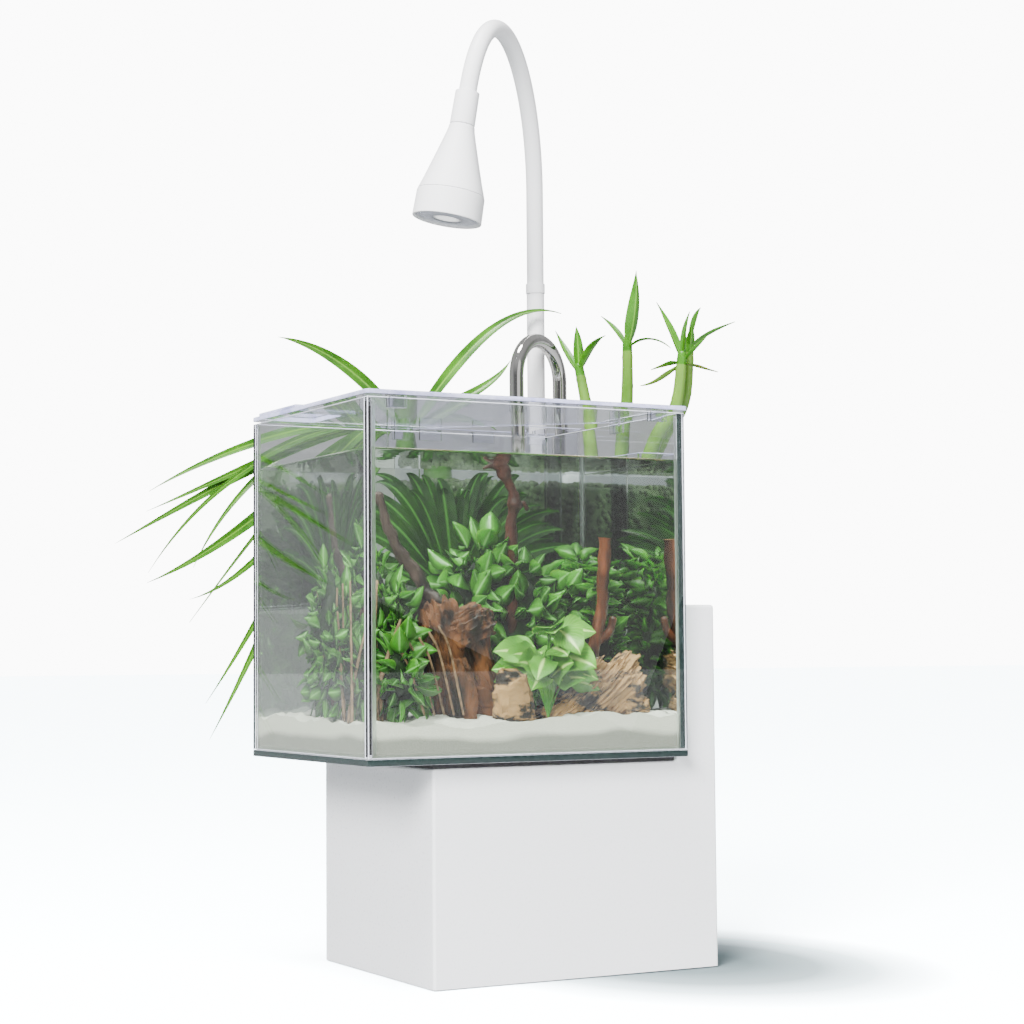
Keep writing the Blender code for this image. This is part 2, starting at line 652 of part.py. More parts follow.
def make_water_system():
    tube("spout_pipe", hairpin_points(), PIPE_RADIUS, steel, 4)
    px, py = PIPE_FRONT
    pump_z0 = sand_top + SAND_TO_PUMP
    pump_z1 = pump_z0 + PUMP_HEIGHT
    bore = PIPE_RADIUS + GAP
    hose_top = tank_z1 - PIPE_FRONT_END_BELOW_RIM + 0.015
    turned("riser_hose", ring_profile(bore, bore + HOSE_WALL, pump_z1 + GAP, hose_top),
           (px, py, 0), clear_plastic, sides=20)

    x0, x1 = px - PUMP_LENGTH / 2, px + PUMP_LENGTH / 2
    y1 = inside_y1 - 0.0010
    y0 = y1 - PUMP_DEPTH
    centre_z = (pump_z0 + pump_z1) / 2 - 0.001
    body = block("pump_body", (x0, y0, pump_z0), (x1, y1, pump_z1), black_plastic)
    chamber = turned("pump_chamber", disc_profile(PUMP_CHAMBER_RADIUS, -0.01,
                                                  PUMP_CHAMBER_DEPTH),
                     (px, y0, centre_z), black_plastic, (0, 1, 0), 24)
    nozzle = turned("pump_nozzle", disc_profile(PIPE_RADIUS, pump_z1 - 0.004, pump_z1 + 0.012),
                    (px, py, 0), black_plastic, sides=16)
    join(body, nozzle)
    cut(body, chamber)

    cover_y1 = y0 - GAP
    cover = block("pump_cover", (x0, cover_y1 - PUMP_COVER, pump_z0), (x1, cover_y1, pump_z1),
                  black_plastic)
    slot_height = PUMP_HEIGHT - 0.014
    slots = 5
    for k in range(slots):
        x = px + (k - (slots - 1) / 2) * 0.0056
        slot = block(f"cover_slot_{k}", (x - 0.001, cover_y1 - 0.01, centre_z - slot_height / 2),
                     (x + 0.001, cover_y1 + 0.002, centre_z + slot_height / 2), black_plastic)
        cut(cover, slot)

    hub_y = y0 + 0.003
    hub = turned("impeller", disc_profile(0.0030, 0, IMPELLER_WIDTH), (px, hub_y, centre_z),
                 white_plastic, (0, 1, 0), 12)
    blades = []
    for k in range(2):
        half_x = IMPELLER_RADIUS if k == 0 else 0.0007
        half_z = 0.0007 if k == 0 else IMPELLER_RADIUS
        blades.append(block(f"impeller_blades_{k}", (px - half_x, hub_y + 0.001, centre_z - half_z),
                            (px + half_x, hub_y + IMPELLER_WIDTH - 0.001, centre_z + half_z),
                            white_plastic))
    join(hub, *blades)
    hang_on(pivot("impeller_axis", (px, hub_y, centre_z)), hub, *blades)

    dial_place = (x0 - GAP, (y0 + y1) / 2, centre_z)
    dial = turned("flow_dial", disc_profile(0.0075, 0, 0.004), dial_place, black_plastic,
                  (-1, 0, 0), 20)
    tab = block("dial_tab", (x0 - GAP - 0.0065, dial_place[1] - 0.0010, centre_z - 0.0060),
                (x0 - GAP - 0.0030, dial_place[1] + 0.0010, centre_z + 0.0060), black_plastic)
    join(dial, tab)
    hang_on(pivot("dial_axis", dial_place), dial, tab)


# ---------------------------------------------------------------- lamp

def neck_point(share):
    """Point on the bend of the neck, which leaves the stem's line and enters the head's line."""
    start = Vector((LAMP_X, LAMP_Y, NECK_BEND_START))
    pull_up = start + Vector((0, 0, NECK_RISE))
    pull_down = head_origin - head_axis * NECK_FALL
    return on_curve((start, pull_up, pull_down, head_origin), share)


def neck_stretch(first, last, steps):
    return [neck_point(first + (last - first) * k / steps) for k in range(steps + 1)]


def shorten(points, cut_start, cut_end):
    """Take a length off each end of a path."""
    points = list(points)
    for length, index, neighbour in ((cut_start, 0, 1), (cut_end, -1, -2)):
        step = points[neighbour] - points[index]
        points[index] = points[index] + step.normalized() * min(length, 0.9 * step.length)
    return points


def make_lamp():
    base = Vector((LAMP_X, LAMP_Y, 0))
    seat = trough_floor + SOCKET_WALL + GAP
    half_gap = NECK_JOINT_GAP / 2
    stem = turned("lamp_stem",
                  [(0, seat), (STEM_RADIUS, seat), (STEM_RADIUS, STEM_TOP),
                   (NECK_RADIUS, STEM_TOP), (NECK_RADIUS, NECK_LOW_JOINT - half_gap),
                   (0, NECK_LOW_JOINT - half_gap)], base, white_plastic, sides=20)
    ferrule = turned("stem_ferrule",
                     ring_profile(NECK_RADIUS + GAP, STEM_RADIUS + 0.0006, STEM_TOP + GAP,
                                  STEM_TOP + 0.009), base, white_plastic, sides=20)
    hang_on(pivot("stem_swivel", base + Vector((0, 0, STEM_TOP))), stem, ferrule)

    bend = neck_stretch(0, NECK_MIDDLE_SHARE, 8)
    middle_points = shorten([base + Vector((0, 0, NECK_LOW_JOINT + half_gap)), *bend], 0,
                            half_gap)
    middle = tube("neck_middle", middle_points, NECK_RADIUS, white_plastic, 4)
    hang_on(pivot("neck_joint_low", base + Vector((0, 0, NECK_LOW_JOINT))), middle)

    upper_points = shorten(neck_stretch(NECK_MIDDLE_SHARE, 1.0, 10), half_gap, NECK_JOINT_GAP)
    upper = tube("neck_upper", upper_points, NECK_RADIUS, white_plastic, 4)
    hang_on(pivot("neck_joint_middle", neck_point(NECK_MIDDLE_SHARE)), upper)

    def on_head(name, profile, look, sides=28):
        return turned(name, profile, head_origin, look, head_axis, sides)

    collar_bottom = COLLAR_RADIUS + 0.0004
    collar = on_head("head_collar", [(0, 0.006), (NECK_RADIUS + 0.0006, 0.006),
                                     (NECK_RADIUS + 0.0006, 0), (COLLAR_RADIUS, 0),
                                     (collar_bottom, COLLAR_LENGTH), (0, COLLAR_LENGTH)],
                     white_plastic, 20)
    flare = 0.0080
    outer = [(collar_bottom, shade_start), (0.0125, shade_start + flare),
             (SHADE_RADIUS, shade_end)]
    inner = [(SHADE_RADIUS - HEAD_WALL, shade_end), (0.0125 - HEAD_WALL, shade_start + flare),
             (collar_bottom - HEAD_WALL, shade_start + HEAD_WALL), (0, shade_start + HEAD_WALL)]
    shell = on_head("head_shell", [(0, shade_start), *outer, *inner], white_plastic)
    rim = on_head("head_rim", [(SHADE_RADIUS - HEAD_WALL, rim_start), (SHADE_RADIUS, rim_start),
                               (RIM_RADIUS, rim_end), (RIM_RADIUS - HEAD_WALL, rim_end)],
                  white_plastic)
    board = on_head("led_board", disc_profile(0.0210, shade_end - 0.006 + GAP, shade_end - 0.0042),
                    white_plastic, 20)
    mouth = RIM_RADIUS - HEAD_WALL - 0.0012
    reflector = on_head("reflector", [(0.0070, rim_start - 0.003), (mouth - 0.0010, rim_end - 0.0045),
                                      (mouth, rim_end - 0.0045), (0.0080, rim_start - 0.003)],
                        bright_reflector, 24)
    lens = on_head("lens", disc_profile(mouth, rim_end - 0.0042, rim_end - 0.0020), clear_glass)
    hang_on(pivot("head_joint", head_origin), collar, shell, rim, board, reflector, lens)


# ---------------------------------------------------------------- stones, wood and plants

def make_hardscape():
    foot = sand_top + GAP
    mound("stone_left", (-0.118, -0.072, foot), (-0.062, -0.030, foot + 0.088), brown_wood, 0.16)
    mound("stone_right", (-0.014, -0.078, foot), (0.062, -0.034, foot + 0.050), tan_stone, 0.18)
    branch = [(-0.118, 0.020, foot), (-0.118, 0.020, foot + STALK_FOOT), (-0.104, 0.008, foot + 0.060),
              (-0.098, 0.000, foot + 0.100), (-0.122, -0.004, foot + 0.135),
              (-0.138, -0.008, foot + 0.170)]
    sections = [(0.0070, 0.0070), (0.0070, 0.0070), (0.0060, 0.0060), (0.0055, 0.0055), (0.0040, 0.0040),
                (0.0022, 0.0022)]
    swept("driftwood_left", [Vector(p) for p in branch], sections, brown_wood)
    stick = [(0.042, -0.020, foot), (0.042, -0.020, foot + STALK_FOOT), (0.040, -0.022, foot + 0.070),
             (0.046, -0.026, foot + 0.130)]
    swept("upright_stick", [Vector(p) for p in stick],
          [(0.0060, 0.0060), (0.0060, 0.0060), (0.0052, 0.0052), (0.0050, 0.0050)], brown_wood)


def make_water_plants():
    foot = sand_top + GAP
    mound("plant_clump_left", (-0.172, -0.092, foot), (-0.124, 0.012, foot + 0.078),
          leaf_green, 0.14)
    mound("plant_clump_front", (-0.060, -0.086, foot), (-0.016, -0.034, foot + 0.074),
          leaf_green, 0.14)
    mound("plant_clump_back", (-0.092, -0.010, foot), (0.024, 0.040, foot + 0.130),
          leaf_green, 0.14)
    mound("plant_clump_right", (0.048, -0.030, foot), (0.076, 0.056, foot + 0.140),
          leaf_green, 0.12)
    heart = Vector((-0.050, 0.068, foot))
    strap = swept("strap_plant", [heart, heart + Vector((0, 0, 0.110))],
                  [(0.0080, 0.0080), (0.0045, 0.0045)], leaf_green, smooth=False)
    blades = []
    count = 7
    for k in range(count):
        lean = (k / (count - 1) - 0.5) * 2
        start = heart + Vector((0.003 * lean, 0, 0.096))
        over = start + Vector((0.034 * lean, 0.004 * (-1) ** k, 0.060))
        tip = start + Vector((0.094 * lean, 0.008 * (-1) ** k, 0.098 - 0.036 * lean * lean))
        blades.append(leaf(f"strap_leaf_{k}", (start, over, tip), 0.0065, leaf_green, 4))
    join(strap, *blades)


def make_spider_plant():
    """A tuft behind the tank.  Its leaves clear the trough's rim, then arch out to the left."""
    crown = Vector((-0.036, 0.131, media_top + GAP))
    heart = Vector((crown.x, crown.y, trough_z1 + 0.002))
    tuft = swept("spider_plant", [crown, heart], [(0.0140, 0.0140), (0.0090, 0.0090)], leaf_green,
                 smooth=False)
    start = heart - Vector((0, 0, 0.002))
    arches = (
        ((-0.080, 0.133, 0.462), (-0.190, 0.133, 0.420), (-0.262, 0.130, 0.376), 0.0045),
        ((-0.085, 0.138, 0.466), (-0.190, 0.138, 0.385), (-0.290, 0.132, 0.334), 0.0050),
        ((-0.090, 0.130, 0.470), (-0.160, 0.128, 0.350), (-0.265, 0.128, 0.302), 0.0065),
        ((-0.095, 0.146, 0.474), (-0.165, 0.146, 0.400), (-0.222, 0.146, 0.272), 0.0035),
        ((-0.110, 0.124, 0.480), (-0.130, 0.124, 0.330), (-0.212, 0.126, 0.178), 0.0050),
        ((-0.055, 0.131, 0.462), (-0.100, 0.131, 0.500), (-0.151, 0.130, 0.507), 0.0050),
        ((-0.010, 0.124, 0.460), (0.045, 0.112, 0.560), (0.106, 0.108, 0.541), 0.0055),
        ((-0.030, 0.140, 0.470), (-0.040, 0.148, 0.520), (-0.075, 0.150, 0.545), 0.0045),
    )
    leaves = []
    for k, (rise, fall, tip, half_width) in enumerate(arches):
        controls = (start, rise, fall, tip)
        leaves.append(leaf(f"arching_leaf_{k}", controls, half_width, leaf_green, 7))
    join(tuft, *leaves)


def bamboo(name, path, leaves):
    """One stalk with leaves that all spring from its top.  Its foot stands upright."""
    points = [Vector(p) for p in path]
    points.insert(1, points[0] + Vector((0, 0, STALK_FOOT)))
    stalk = swept(name, points, [(0.0042, 0.0042)] * len(points), stalk_green)
    blades = []
    for k, (over, tip) in enumerate(leaves):
        start = points[-1] - Vector((0, 0, 0.002))
        blades.append(leaf(f"{name}_leaf_{k}", (start, over, tip), 0.0045, stalk_green, 4))
    return join(stalk, *blades)


def make_bamboo():
    """Lucky bamboo over the upright.  The front pair shares a root and leans outwards."""
    root = media_top + GAP
    bamboo("bamboo_rear",
           ((0.105, 0.052, root), (0.105, 0.060, 0.450), (0.105, 0.077, 0.490)),
           (((0.106, 0.079, 0.505), (0.105, 0.081, 0.526)),
            ((0.107, 0.066, 0.505), (0.106, 0.034, 0.512)),
            ((0.104, 0.095, 0.500), (0.105, 0.117, 0.527))))
    bamboo("bamboo_middle",
           ((0.105, 0.008, root), (0.106, 0.000, 0.450), (0.106, -0.001, 0.504)),
           (((0.106, -0.020, 0.530), (0.106, -0.016, 0.559)),
            ((0.105, 0.016, 0.515), (0.105, 0.039, 0.529)),
            ((0.108, -0.030, 0.508), (0.112, -0.058, 0.490))))
    shared_root = (0.106, -0.024, root)
    pair = bamboo("bamboo_pair",
                  (shared_root, (0.112, -0.036, 0.418), (0.124, -0.046, 0.446),
                   (0.128, -0.050, 0.486)),
                  (((0.127, -0.038, 0.505), (0.118, -0.028, 0.532)),
                   ((0.129, -0.052, 0.505), (0.131, -0.057, 0.519)),
                   ((0.134, -0.062, 0.490), (0.138, -0.072, 0.500))))
    outer = bamboo("bamboo_pair_outer",
                   (shared_root, (0.125, -0.026, 0.420), (0.140, -0.034, 0.452),
                    (0.143, -0.038, 0.500)),
                   (((0.146, -0.044, 0.520), (0.145, -0.052, 0.518)),
                    ((0.152, -0.050, 0.505), (0.165, -0.072, 0.513))))
    join(pair, outer)


def main():
    clear_scene()
    make_stand()
    make_tank()
    make_lid()
    make_trough()
    make_water_system()
    make_lamp()
    make_hardscape()
    make_water_plants()
    make_spider_plant()
    make_bamboo()


main()
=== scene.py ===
"""The finished look of the small planted aquarium on its white stand.

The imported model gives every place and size.  Each operator below makes one piece, or one group of
like pieces, and says which body it moves with and which plain solids it stands for.
"""

import json
import math
import random

import bmesh
import bpy
from bpy.props import FloatProperty, FloatVectorProperty, IntProperty, PointerProperty
from mathutils import Euler, Matrix, Quaternion, Vector, noise

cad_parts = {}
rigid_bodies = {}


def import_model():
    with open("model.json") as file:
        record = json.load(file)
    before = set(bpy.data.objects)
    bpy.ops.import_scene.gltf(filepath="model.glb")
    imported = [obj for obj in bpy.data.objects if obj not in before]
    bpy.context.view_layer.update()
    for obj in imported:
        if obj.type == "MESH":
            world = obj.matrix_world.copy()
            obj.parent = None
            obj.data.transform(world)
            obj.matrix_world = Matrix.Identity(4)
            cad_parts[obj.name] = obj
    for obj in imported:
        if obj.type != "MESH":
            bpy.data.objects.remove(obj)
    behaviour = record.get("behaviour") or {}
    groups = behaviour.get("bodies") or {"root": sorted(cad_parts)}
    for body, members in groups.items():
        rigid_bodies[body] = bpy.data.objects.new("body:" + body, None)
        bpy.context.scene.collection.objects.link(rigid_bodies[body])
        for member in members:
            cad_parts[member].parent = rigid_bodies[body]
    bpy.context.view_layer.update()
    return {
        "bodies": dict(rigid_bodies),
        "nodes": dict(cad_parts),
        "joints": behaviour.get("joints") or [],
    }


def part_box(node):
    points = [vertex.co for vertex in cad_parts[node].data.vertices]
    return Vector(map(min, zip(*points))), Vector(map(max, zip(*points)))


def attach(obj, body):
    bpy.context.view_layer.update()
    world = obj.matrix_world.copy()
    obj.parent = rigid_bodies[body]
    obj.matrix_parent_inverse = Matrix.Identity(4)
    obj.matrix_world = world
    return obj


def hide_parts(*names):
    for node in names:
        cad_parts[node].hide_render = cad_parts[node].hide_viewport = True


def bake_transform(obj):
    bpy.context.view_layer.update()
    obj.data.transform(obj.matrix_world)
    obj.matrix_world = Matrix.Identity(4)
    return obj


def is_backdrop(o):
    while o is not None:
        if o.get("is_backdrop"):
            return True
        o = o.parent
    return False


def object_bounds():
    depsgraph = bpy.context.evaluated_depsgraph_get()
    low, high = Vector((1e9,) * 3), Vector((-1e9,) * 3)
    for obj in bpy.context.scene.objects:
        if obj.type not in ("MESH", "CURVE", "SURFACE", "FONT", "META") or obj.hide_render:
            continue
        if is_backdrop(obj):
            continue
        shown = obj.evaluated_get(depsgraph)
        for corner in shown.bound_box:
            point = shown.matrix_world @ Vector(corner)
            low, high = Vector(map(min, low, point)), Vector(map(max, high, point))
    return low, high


bl_info = {
    "name": "Planted Aquarium on Stand",
    "version": (1, 0, 0),
    "blender": (4, 5, 0),
    "location": "View3D > Sidebar > Aquarium",
    "description": "Makes the finished pieces of a planted aquarium around its frame",
    "category": "Object",
}

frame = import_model()
PIVOT = {joint["name"]: Vector(joint["pos_m"]) for joint in frame["joints"] if joint.get("pos_m")}
UP = Vector((0, 0, 1))
LEAF_TO_GLASS = Vector((0.0012, 0.0012, 0))
WATER_TO_GLASS = 0.00012
SAND_INTO_GLASS = 0.0022
LEAF_BELOW_SURFACE = 0.004

CAMERA_PLACE = Vector((-0.845, -1.5435, 0.243))
CAMERA_YAW = math.radians(28.60)
CAMERA_PITCH = math.radians(3.74)
CAMERA_ROLL = math.radians(-0.432)
CAMERA_LENS = 77.35
FILM_WIDTH = 36.0
WHITE_TO_CAMERA = 11.0
SOFT_LIGHT = 0.55


# ---------------------------------------------------------------- settings

def size(name, text, default):
    return FloatProperty(name=name, description=text, default=default, unit="LENGTH", precision=4)


def colour(name, text, default):
    return FloatVectorProperty(name=name, description=text, default=default, size=3, min=0, max=1,
                               subtype="COLOR")


class StandSettings(bpy.types.PropertyGroup):
    edge_radius: size("Edge radius", "Rounding of the stand's corners", 0.0024)
    lacquer: colour("Lacquer", "Colour of the satin lacquer", (0.80, 0.81, 0.83))


class TankSettings(bpy.types.PropertyGroup):
    water_level: size("Water level", "Height of the water above the ground", 0.3925)
    meniscus: size("Meniscus", "How far the water climbs up the glass", 0.0011)
    water_tint: colour("Water tint", "Colour that the water takes on", (0.82, 0.93, 0.79))
    glass_tint: colour("Glass tint", "Colour of light through a pane", (0.965, 0.975, 0.97))
    sand_rise: size("Sand rise", "Height of the waves in the sand", 0.0068)


class LidSettings(bpy.types.PropertyGroup):
    edge_tint: colour("Edge tint", "Colour that gathers in the acrylic", (0.93, 0.93, 0.995))
    edge_radius: size("Edge radius", "Rounding of the acrylic edges", 0.0006)


class LampSettings(bpy.types.PropertyGroup):
    plastic: colour("Plastic", "Colour of the lamp", (0.83, 0.83, 0.84))
    glow: FloatProperty(name="Glow", description="Brightness of the light source", default=5.0,
                        min=0)


class PlantSettings(bpy.types.PropertyGroup):
    leaf_seed: IntProperty(name="Leaf seed", description="Changes how the leaves fall", default=7)
    bright_green: colour("Bright green", "Colour of leaves in the light", (0.027, 0.122, 0.005))
    deep_green: colour("Deep green", "Colour of leaves in the shade", (0.002, 0.013, 0.002))


def settings(group):
    return getattr(bpy.context.scene, group)


# ---------------------------------------------------------------- mesh tools

def plain_mesh(thing):
    """Bake the modifiers in, so that only a plain mesh is left."""
    graph = bpy.context.evaluated_depsgraph_get()
    mesh = bpy.data.meshes.new_from_object(thing.evaluated_get(graph))
    thing.modifiers.clear()
    thing.data = mesh
    return thing


def piece(name, shape, finish, body="base", replaces=(), sharp=40, flat=False):
    """Turn a bmesh into a finished piece on its body.  flat keeps wide faces evenly shaded."""
    bmesh.ops.remove_doubles(shape, verts=shape.verts, dist=1e-6)
    bmesh.ops.recalc_face_normals(shape, faces=shape.faces)
    mesh = bpy.data.meshes.new(name)
    shape.to_mesh(mesh)
    shape.free()
    mesh.shade_smooth()
    mesh.set_sharp_from_angle(angle=math.radians(sharp))
    for look in finish if isinstance(finish, (list, tuple)) else [finish]:
        mesh.materials.append(look)
    thing = bpy.data.objects.new(name, mesh)
    bpy.context.scene.collection.objects.link(thing)
    if flat:
        change = thing.modifiers.new("even shading", "WEIGHTED_NORMAL")
        change.weight = 100
        change.keep_sharp = True
        plain_mesh(thing)
    place(thing, body, replaces)
    return thing


def place(thing, body, replaces=()):
    if isinstance(body, str):
        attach(thing, body)
    if replaces:
        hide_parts(*replaces)


def dress(finish, *nodes):
    """Give nodes that are shown as they are a better material."""
    for node in nodes:
        mesh = frame["nodes"][node].data
        mesh.materials.clear()
        mesh.materials.append(finish)


def bevel(shape, edges, rounding, steps):
    """Round edges, each taken once and always in the same order."""
    bmesh.ops.bevel(shape, geom=list(dict.fromkeys(edges)), offset=rounding, segments=steps,
                    affect="EDGES", profile=0.5)


def add_block(shape, low, high, rounding=0.0006, steps=2):
    low, high = Vector(low), Vector(high)
    made = bmesh.ops.create_cube(shape, size=1.0)["verts"]
    bmesh.ops.scale(shape, vec=high - low, verts=made)
    bmesh.ops.translate(shape, vec=(low + high) / 2, verts=made)
    if rounding:
        bevel(shape, (edge for vertex in made for edge in vertex.link_edges), rounding, steps)


def add_outline(shape, outline, low, high, axis=2):
    """Extrude a closed outline along an axis.  Returns its two ends, then its sides."""
    def lift(point, along):
        spot = list(point)
        spot.insert(axis, along)
        return spot

    bottom = [shape.verts.new(lift(p, low)) for p in outline]
    top = [shape.verts.new(lift(p, high)) for p in outline]
    faces = [shape.faces.new(bottom), shape.faces.new(top)]
    count = len(outline)
    for i in range(count):
        j = (i + 1) % count
        faces.append(shape.faces.new((bottom[i], bottom[j], top[j], top[i])))
    bmesh.ops.recalc_face_normals(shape, faces=faces)
    return faces


def round_off(shape, faces, rounding, steps=3):
    bevel(shape, (edge for face in faces for edge in face.edges), rounding, steps)


def soften(profile, radius, steps=3, closed=True):
    """Round the corners of a profile."""
    points = [Vector(p) for p in profile]
    result = []
    count = len(points)
    for i, corner in enumerate(points):
        if not closed and i in (0, count - 1):
            result.append(corner)
            continue
        before, after = points[i - 1], points[(i + 1) % count]
        reach = min(radius, (before - corner).length * 0.45, (after - corner).length * 0.45)
        start = corner + (before - corner).normalized() * reach
        end = corner + (after - corner).normalized() * reach
        for k in range(steps + 1):
            t = k / steps
            result.append(start * (1 - t) ** 2 + corner * 2 * t * (1 - t) + end * t * t)
    return result


def rounded_rect(x0, y0, x1, y1, radius, steps=5):
    return soften([(x0, y0), (x1, y0), (x1, y1), (x0, y1)], radius, steps)


def add_turned(shape, profile, centre, direction=UP, sides=48, loop=False):
    """Turn a (radius, height) profile.  A loop closes on itself, a line starts on the axis."""
    turn = UP.rotation_difference(Vector(direction)).to_matrix()
    centre = Vector(centre)
    rings = []
    for radius, height in profile:
        if radius < 1e-7:
            rings.append([shape.verts.new(centre + turn @ Vector((0, 0, height)))] * sides)
            continue
        ring = []
        for i in range(sides):
            angle = 2 * math.pi * i / sides
            spot = Vector((radius * math.cos(angle), radius * math.sin(angle), height))
            ring.append(shape.verts.new(centre + turn @ spot))
        rings.append(ring)
    pairs = list(zip(rings, rings[1:]))
    if loop:
        pairs.append((rings[-1], rings[0]))
    for first, second in pairs:
        for i in range(sides):
            j = (i + 1) % sides
            corners = []
            for vertex in (first[i], first[j], second[j], second[i]):
                if vertex not in corners:
                    corners.append(vertex)
            if len(corners) > 2:
                shape.faces.new(corners)


def on_curve(controls, share):
    """Point on the Bezier curve that these control points draw."""
    points = [Vector(p) for p in controls]
    while len(points) > 1:
        points = [a.lerp(b, share) for a, b in zip(points, points[1:])]
    return points[0]


def through(knots, steps):
    """A smooth path through the knots, evenly sampled between them."""
    knots = [Vector(k) for k in knots]
    ends = [knots[0] * 2 - knots[1], *knots, knots[-1] * 2 - knots[-2]]
    path = []
    for i in range(1, len(ends) - 2):
        a, b, c, d = ends[i - 1:i + 3]
        for k in range(steps):
            t = k / steps
            path.append(0.5 * (2 * b + (c - a) * t + (2 * a - 5 * b + 4 * c - d) * t * t
                               + (3 * b - a - 3 * c + d) * t ** 3))
    path.append(knots[-1])
    return path


def frames(points, lean=UP):
    """Travel, side and face directions along a path, with no sudden turn."""
    result = []
    side = None
    for i, point in enumerate(points):
        ahead = (points[min(i + 1, len(points) - 1)] - points[max(i - 1, 0)]).normalized()
        if side is None:
            side = ahead.cross(Vector(lean))
            if side.length < 1e-3:
                side = ahead.cross(Vector((0, 1, 0.2)))
        side = (side - ahead * side.dot(ahead)).normalized()
        result.append((point, ahead, side, side.cross(ahead)))
    return result


def add_bar(shape, points, radii, sides=16, rough=0.0, seed=0.0, dome=True):
    """A round bar with domed ends.  rough pushes its skin in and out like bark."""
    points = [Vector(p) for p in points]
    radii = list(radii) if hasattr(radii, "__len__") else [radii] * len(points)
    path = frames(points)
    if dome:
        first, last = path[0], path[-1]
        start_caps = [(0.05, 0.32), (0.25, 0.66), (0.60, 0.92)]
        head = [((first[0] - first[1] * radii[0] * (1 - s), *first[1:]), radii[0] * r)
                for s, r in start_caps]
        tail = [((last[0] + last[1] * radii[-1] * (1 - s), *last[1:]), radii[-1] * r)
                for s, r in reversed(start_caps)]
    else:
        head, tail = [], []
    stations = [*head, *zip(path, radii), *tail]
    rings = []
    for (point, _, side, face), radius in stations:
        ring = []
        for i in range(sides):
            angle = 2 * math.pi * i / sides
            out = side * math.cos(angle) + face * math.sin(angle)
            push = 0.0
            if rough:
                spot = (point + out * radius) * 120 + Vector((seed, seed, seed))
                push = rough * (noise.noise(spot) + 0.5 * noise.noise(spot * 2.7))
            ring.append(shape.verts.new(point + out * radius * (1 + push)))
        rings.append(ring)
    stitch(shape, rings)
    shape.faces.new(rings[0])
    shape.faces.new(rings[-1])


def add_pipe(shape, points, outer, inner, sides=32):
    """A hollow pipe with rounded rims."""
    path = frames([Vector(p) for p in points])
    lip = (outer - inner) * 0.3
    loops = []
    for radius, stations in ((outer, path), (inner, list(reversed(path)))):
        for k, (point, _, side, face) in enumerate(stations):
            end = k in (0, len(stations) - 1)
            size_here = radius + (lip if radius == inner else -lip) * end
            loops.append([shape.verts.new(point + (side * math.cos(2 * math.pi * i / sides)
                                                   + face * math.sin(2 * math.pi * i / sides))
                                          * size_here) for i in range(sides)])
    stitch(shape, [*loops, loops[0]])


def leaf_width(share, broad=0.42):
    """Outline of a pointed leaf, widest at the share named broad."""
    rise = math.sin(math.pi / 2 * min(share / broad, 1)) ** 0.8
    fall = 1.0
    if share > broad:
        fall = max(0.0, 1 - ((share - broad) / (1 - broad)) ** 1.7)
    return max(0.02, rise * fall)


def add_blade(shape, points, half_width, outline=leaf_width, fold=0.35, thickness=0.0005,
              across=4, lean=UP, twist=0.0, wave=0.0):
    """A leaf: a thin closed blade along a path, folded at its midrib."""
    uv = shape.loops.layers.uv.verify()
    path = frames([Vector(p) for p in points], lean)
    rings = []
    marks = {}
    count = len(path) - 1
    for k, (point, ahead, side, face) in enumerate(path):
        share = k / count
        turn = Quaternion(ahead, twist * share)
        side, face = turn @ side, turn @ face
        width = half_width * outline(share)
        ring = []
        for level in (0, 1):
            order = range(across + 1) if level == 0 else range(across - 1, 0, -1)
            for i in order:
                u = 2 * i / across - 1
                ripple = wave * width * math.sin(9 * share + 2 * u) * abs(u)
                height = fold * width * abs(u) + ripple
                depth = thickness * (1 - u * u) ** 0.5 * level
                vertex = shape.verts.new(point + side * u * width + face * (height - depth))
                marks[vertex] = ((u + 1) / 2, share)
                ring.append(vertex)
        rings.append(ring)
    faces = [shape.faces.new(rings[0]), shape.faces.new(rings[-1])]
    for a, b in zip(rings, rings[1:]):
        for i in range(len(a)):
            j = (i + 1) % len(a)
            faces.append(shape.faces.new((a[i], a[j], b[j], b[i])))
    for face_made in faces:
        for loop in face_made.loops:
            loop[uv].uv = marks[loop.vert]


def arch(start, rise, fall, tip, steps=18):
    return [on_curve((start, rise, fall, tip), k / steps) for k in range(steps + 1)]


def add_rock(shape, centre, half, seed, layers=(0, 0, 1), depth=0.28, detail=5, tilt=0.0):
    """A rugged rock: a ball pushed in along beds, broken by cracks, and tilted."""
    made = bmesh.ops.create_icosphere(shape, subdivisions=detail, radius=1.0)["verts"]
    centre, half = Vector(centre), Vector(half)
    beds = Vector(layers).normalized()
    shift = Vector((seed * 3.1, seed * 1.7, seed * 2.3))
    turn = Euler((0, -math.radians(tilt), 0)).to_matrix()
    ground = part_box("sand_bed")[1].z - 0.004
    for vertex in made:
        spot = vertex.co.copy()
        lump = noise.noise(spot * 1.3 + shift) * 0.55
        strata = abs(noise.noise(Vector((spot.dot(beds) * 7, spot.x * 0.9, spot.y * 0.9)) + shift))
        chips = noise.voronoi(spot * 2.6 + shift)[0][0]
        grit = noise.noise(spot * 11 + shift) * 0.08
        swell = 1 + depth * (lump + 0.8 * strata + 0.7 * (chips - 0.35)) + grit * 0.5
        squared = Vector(math.copysign(abs(c) ** 0.72, c) for c in spot)
        grown = Vector(a * b for a, b in zip(squared * swell, half))
        vertex.co = centre + turn @ grown
        vertex.co.z = max(vertex.co.z, ground)


def add_rocks(shape, rocks, origin, depth):
    """Rocks given as centre, half size, seed, direction of the beds and tilt in degrees."""
    for centre, half, seed, beds, tilt in rocks:
        add_rock(shape, origin + Vector(centre), half, seed, beds, depth, 5, tilt)


# ---------------------------------------------------------------- shader tools

def join(tree, *links):
    for source, target in links:
        tree.links.new(source, target)


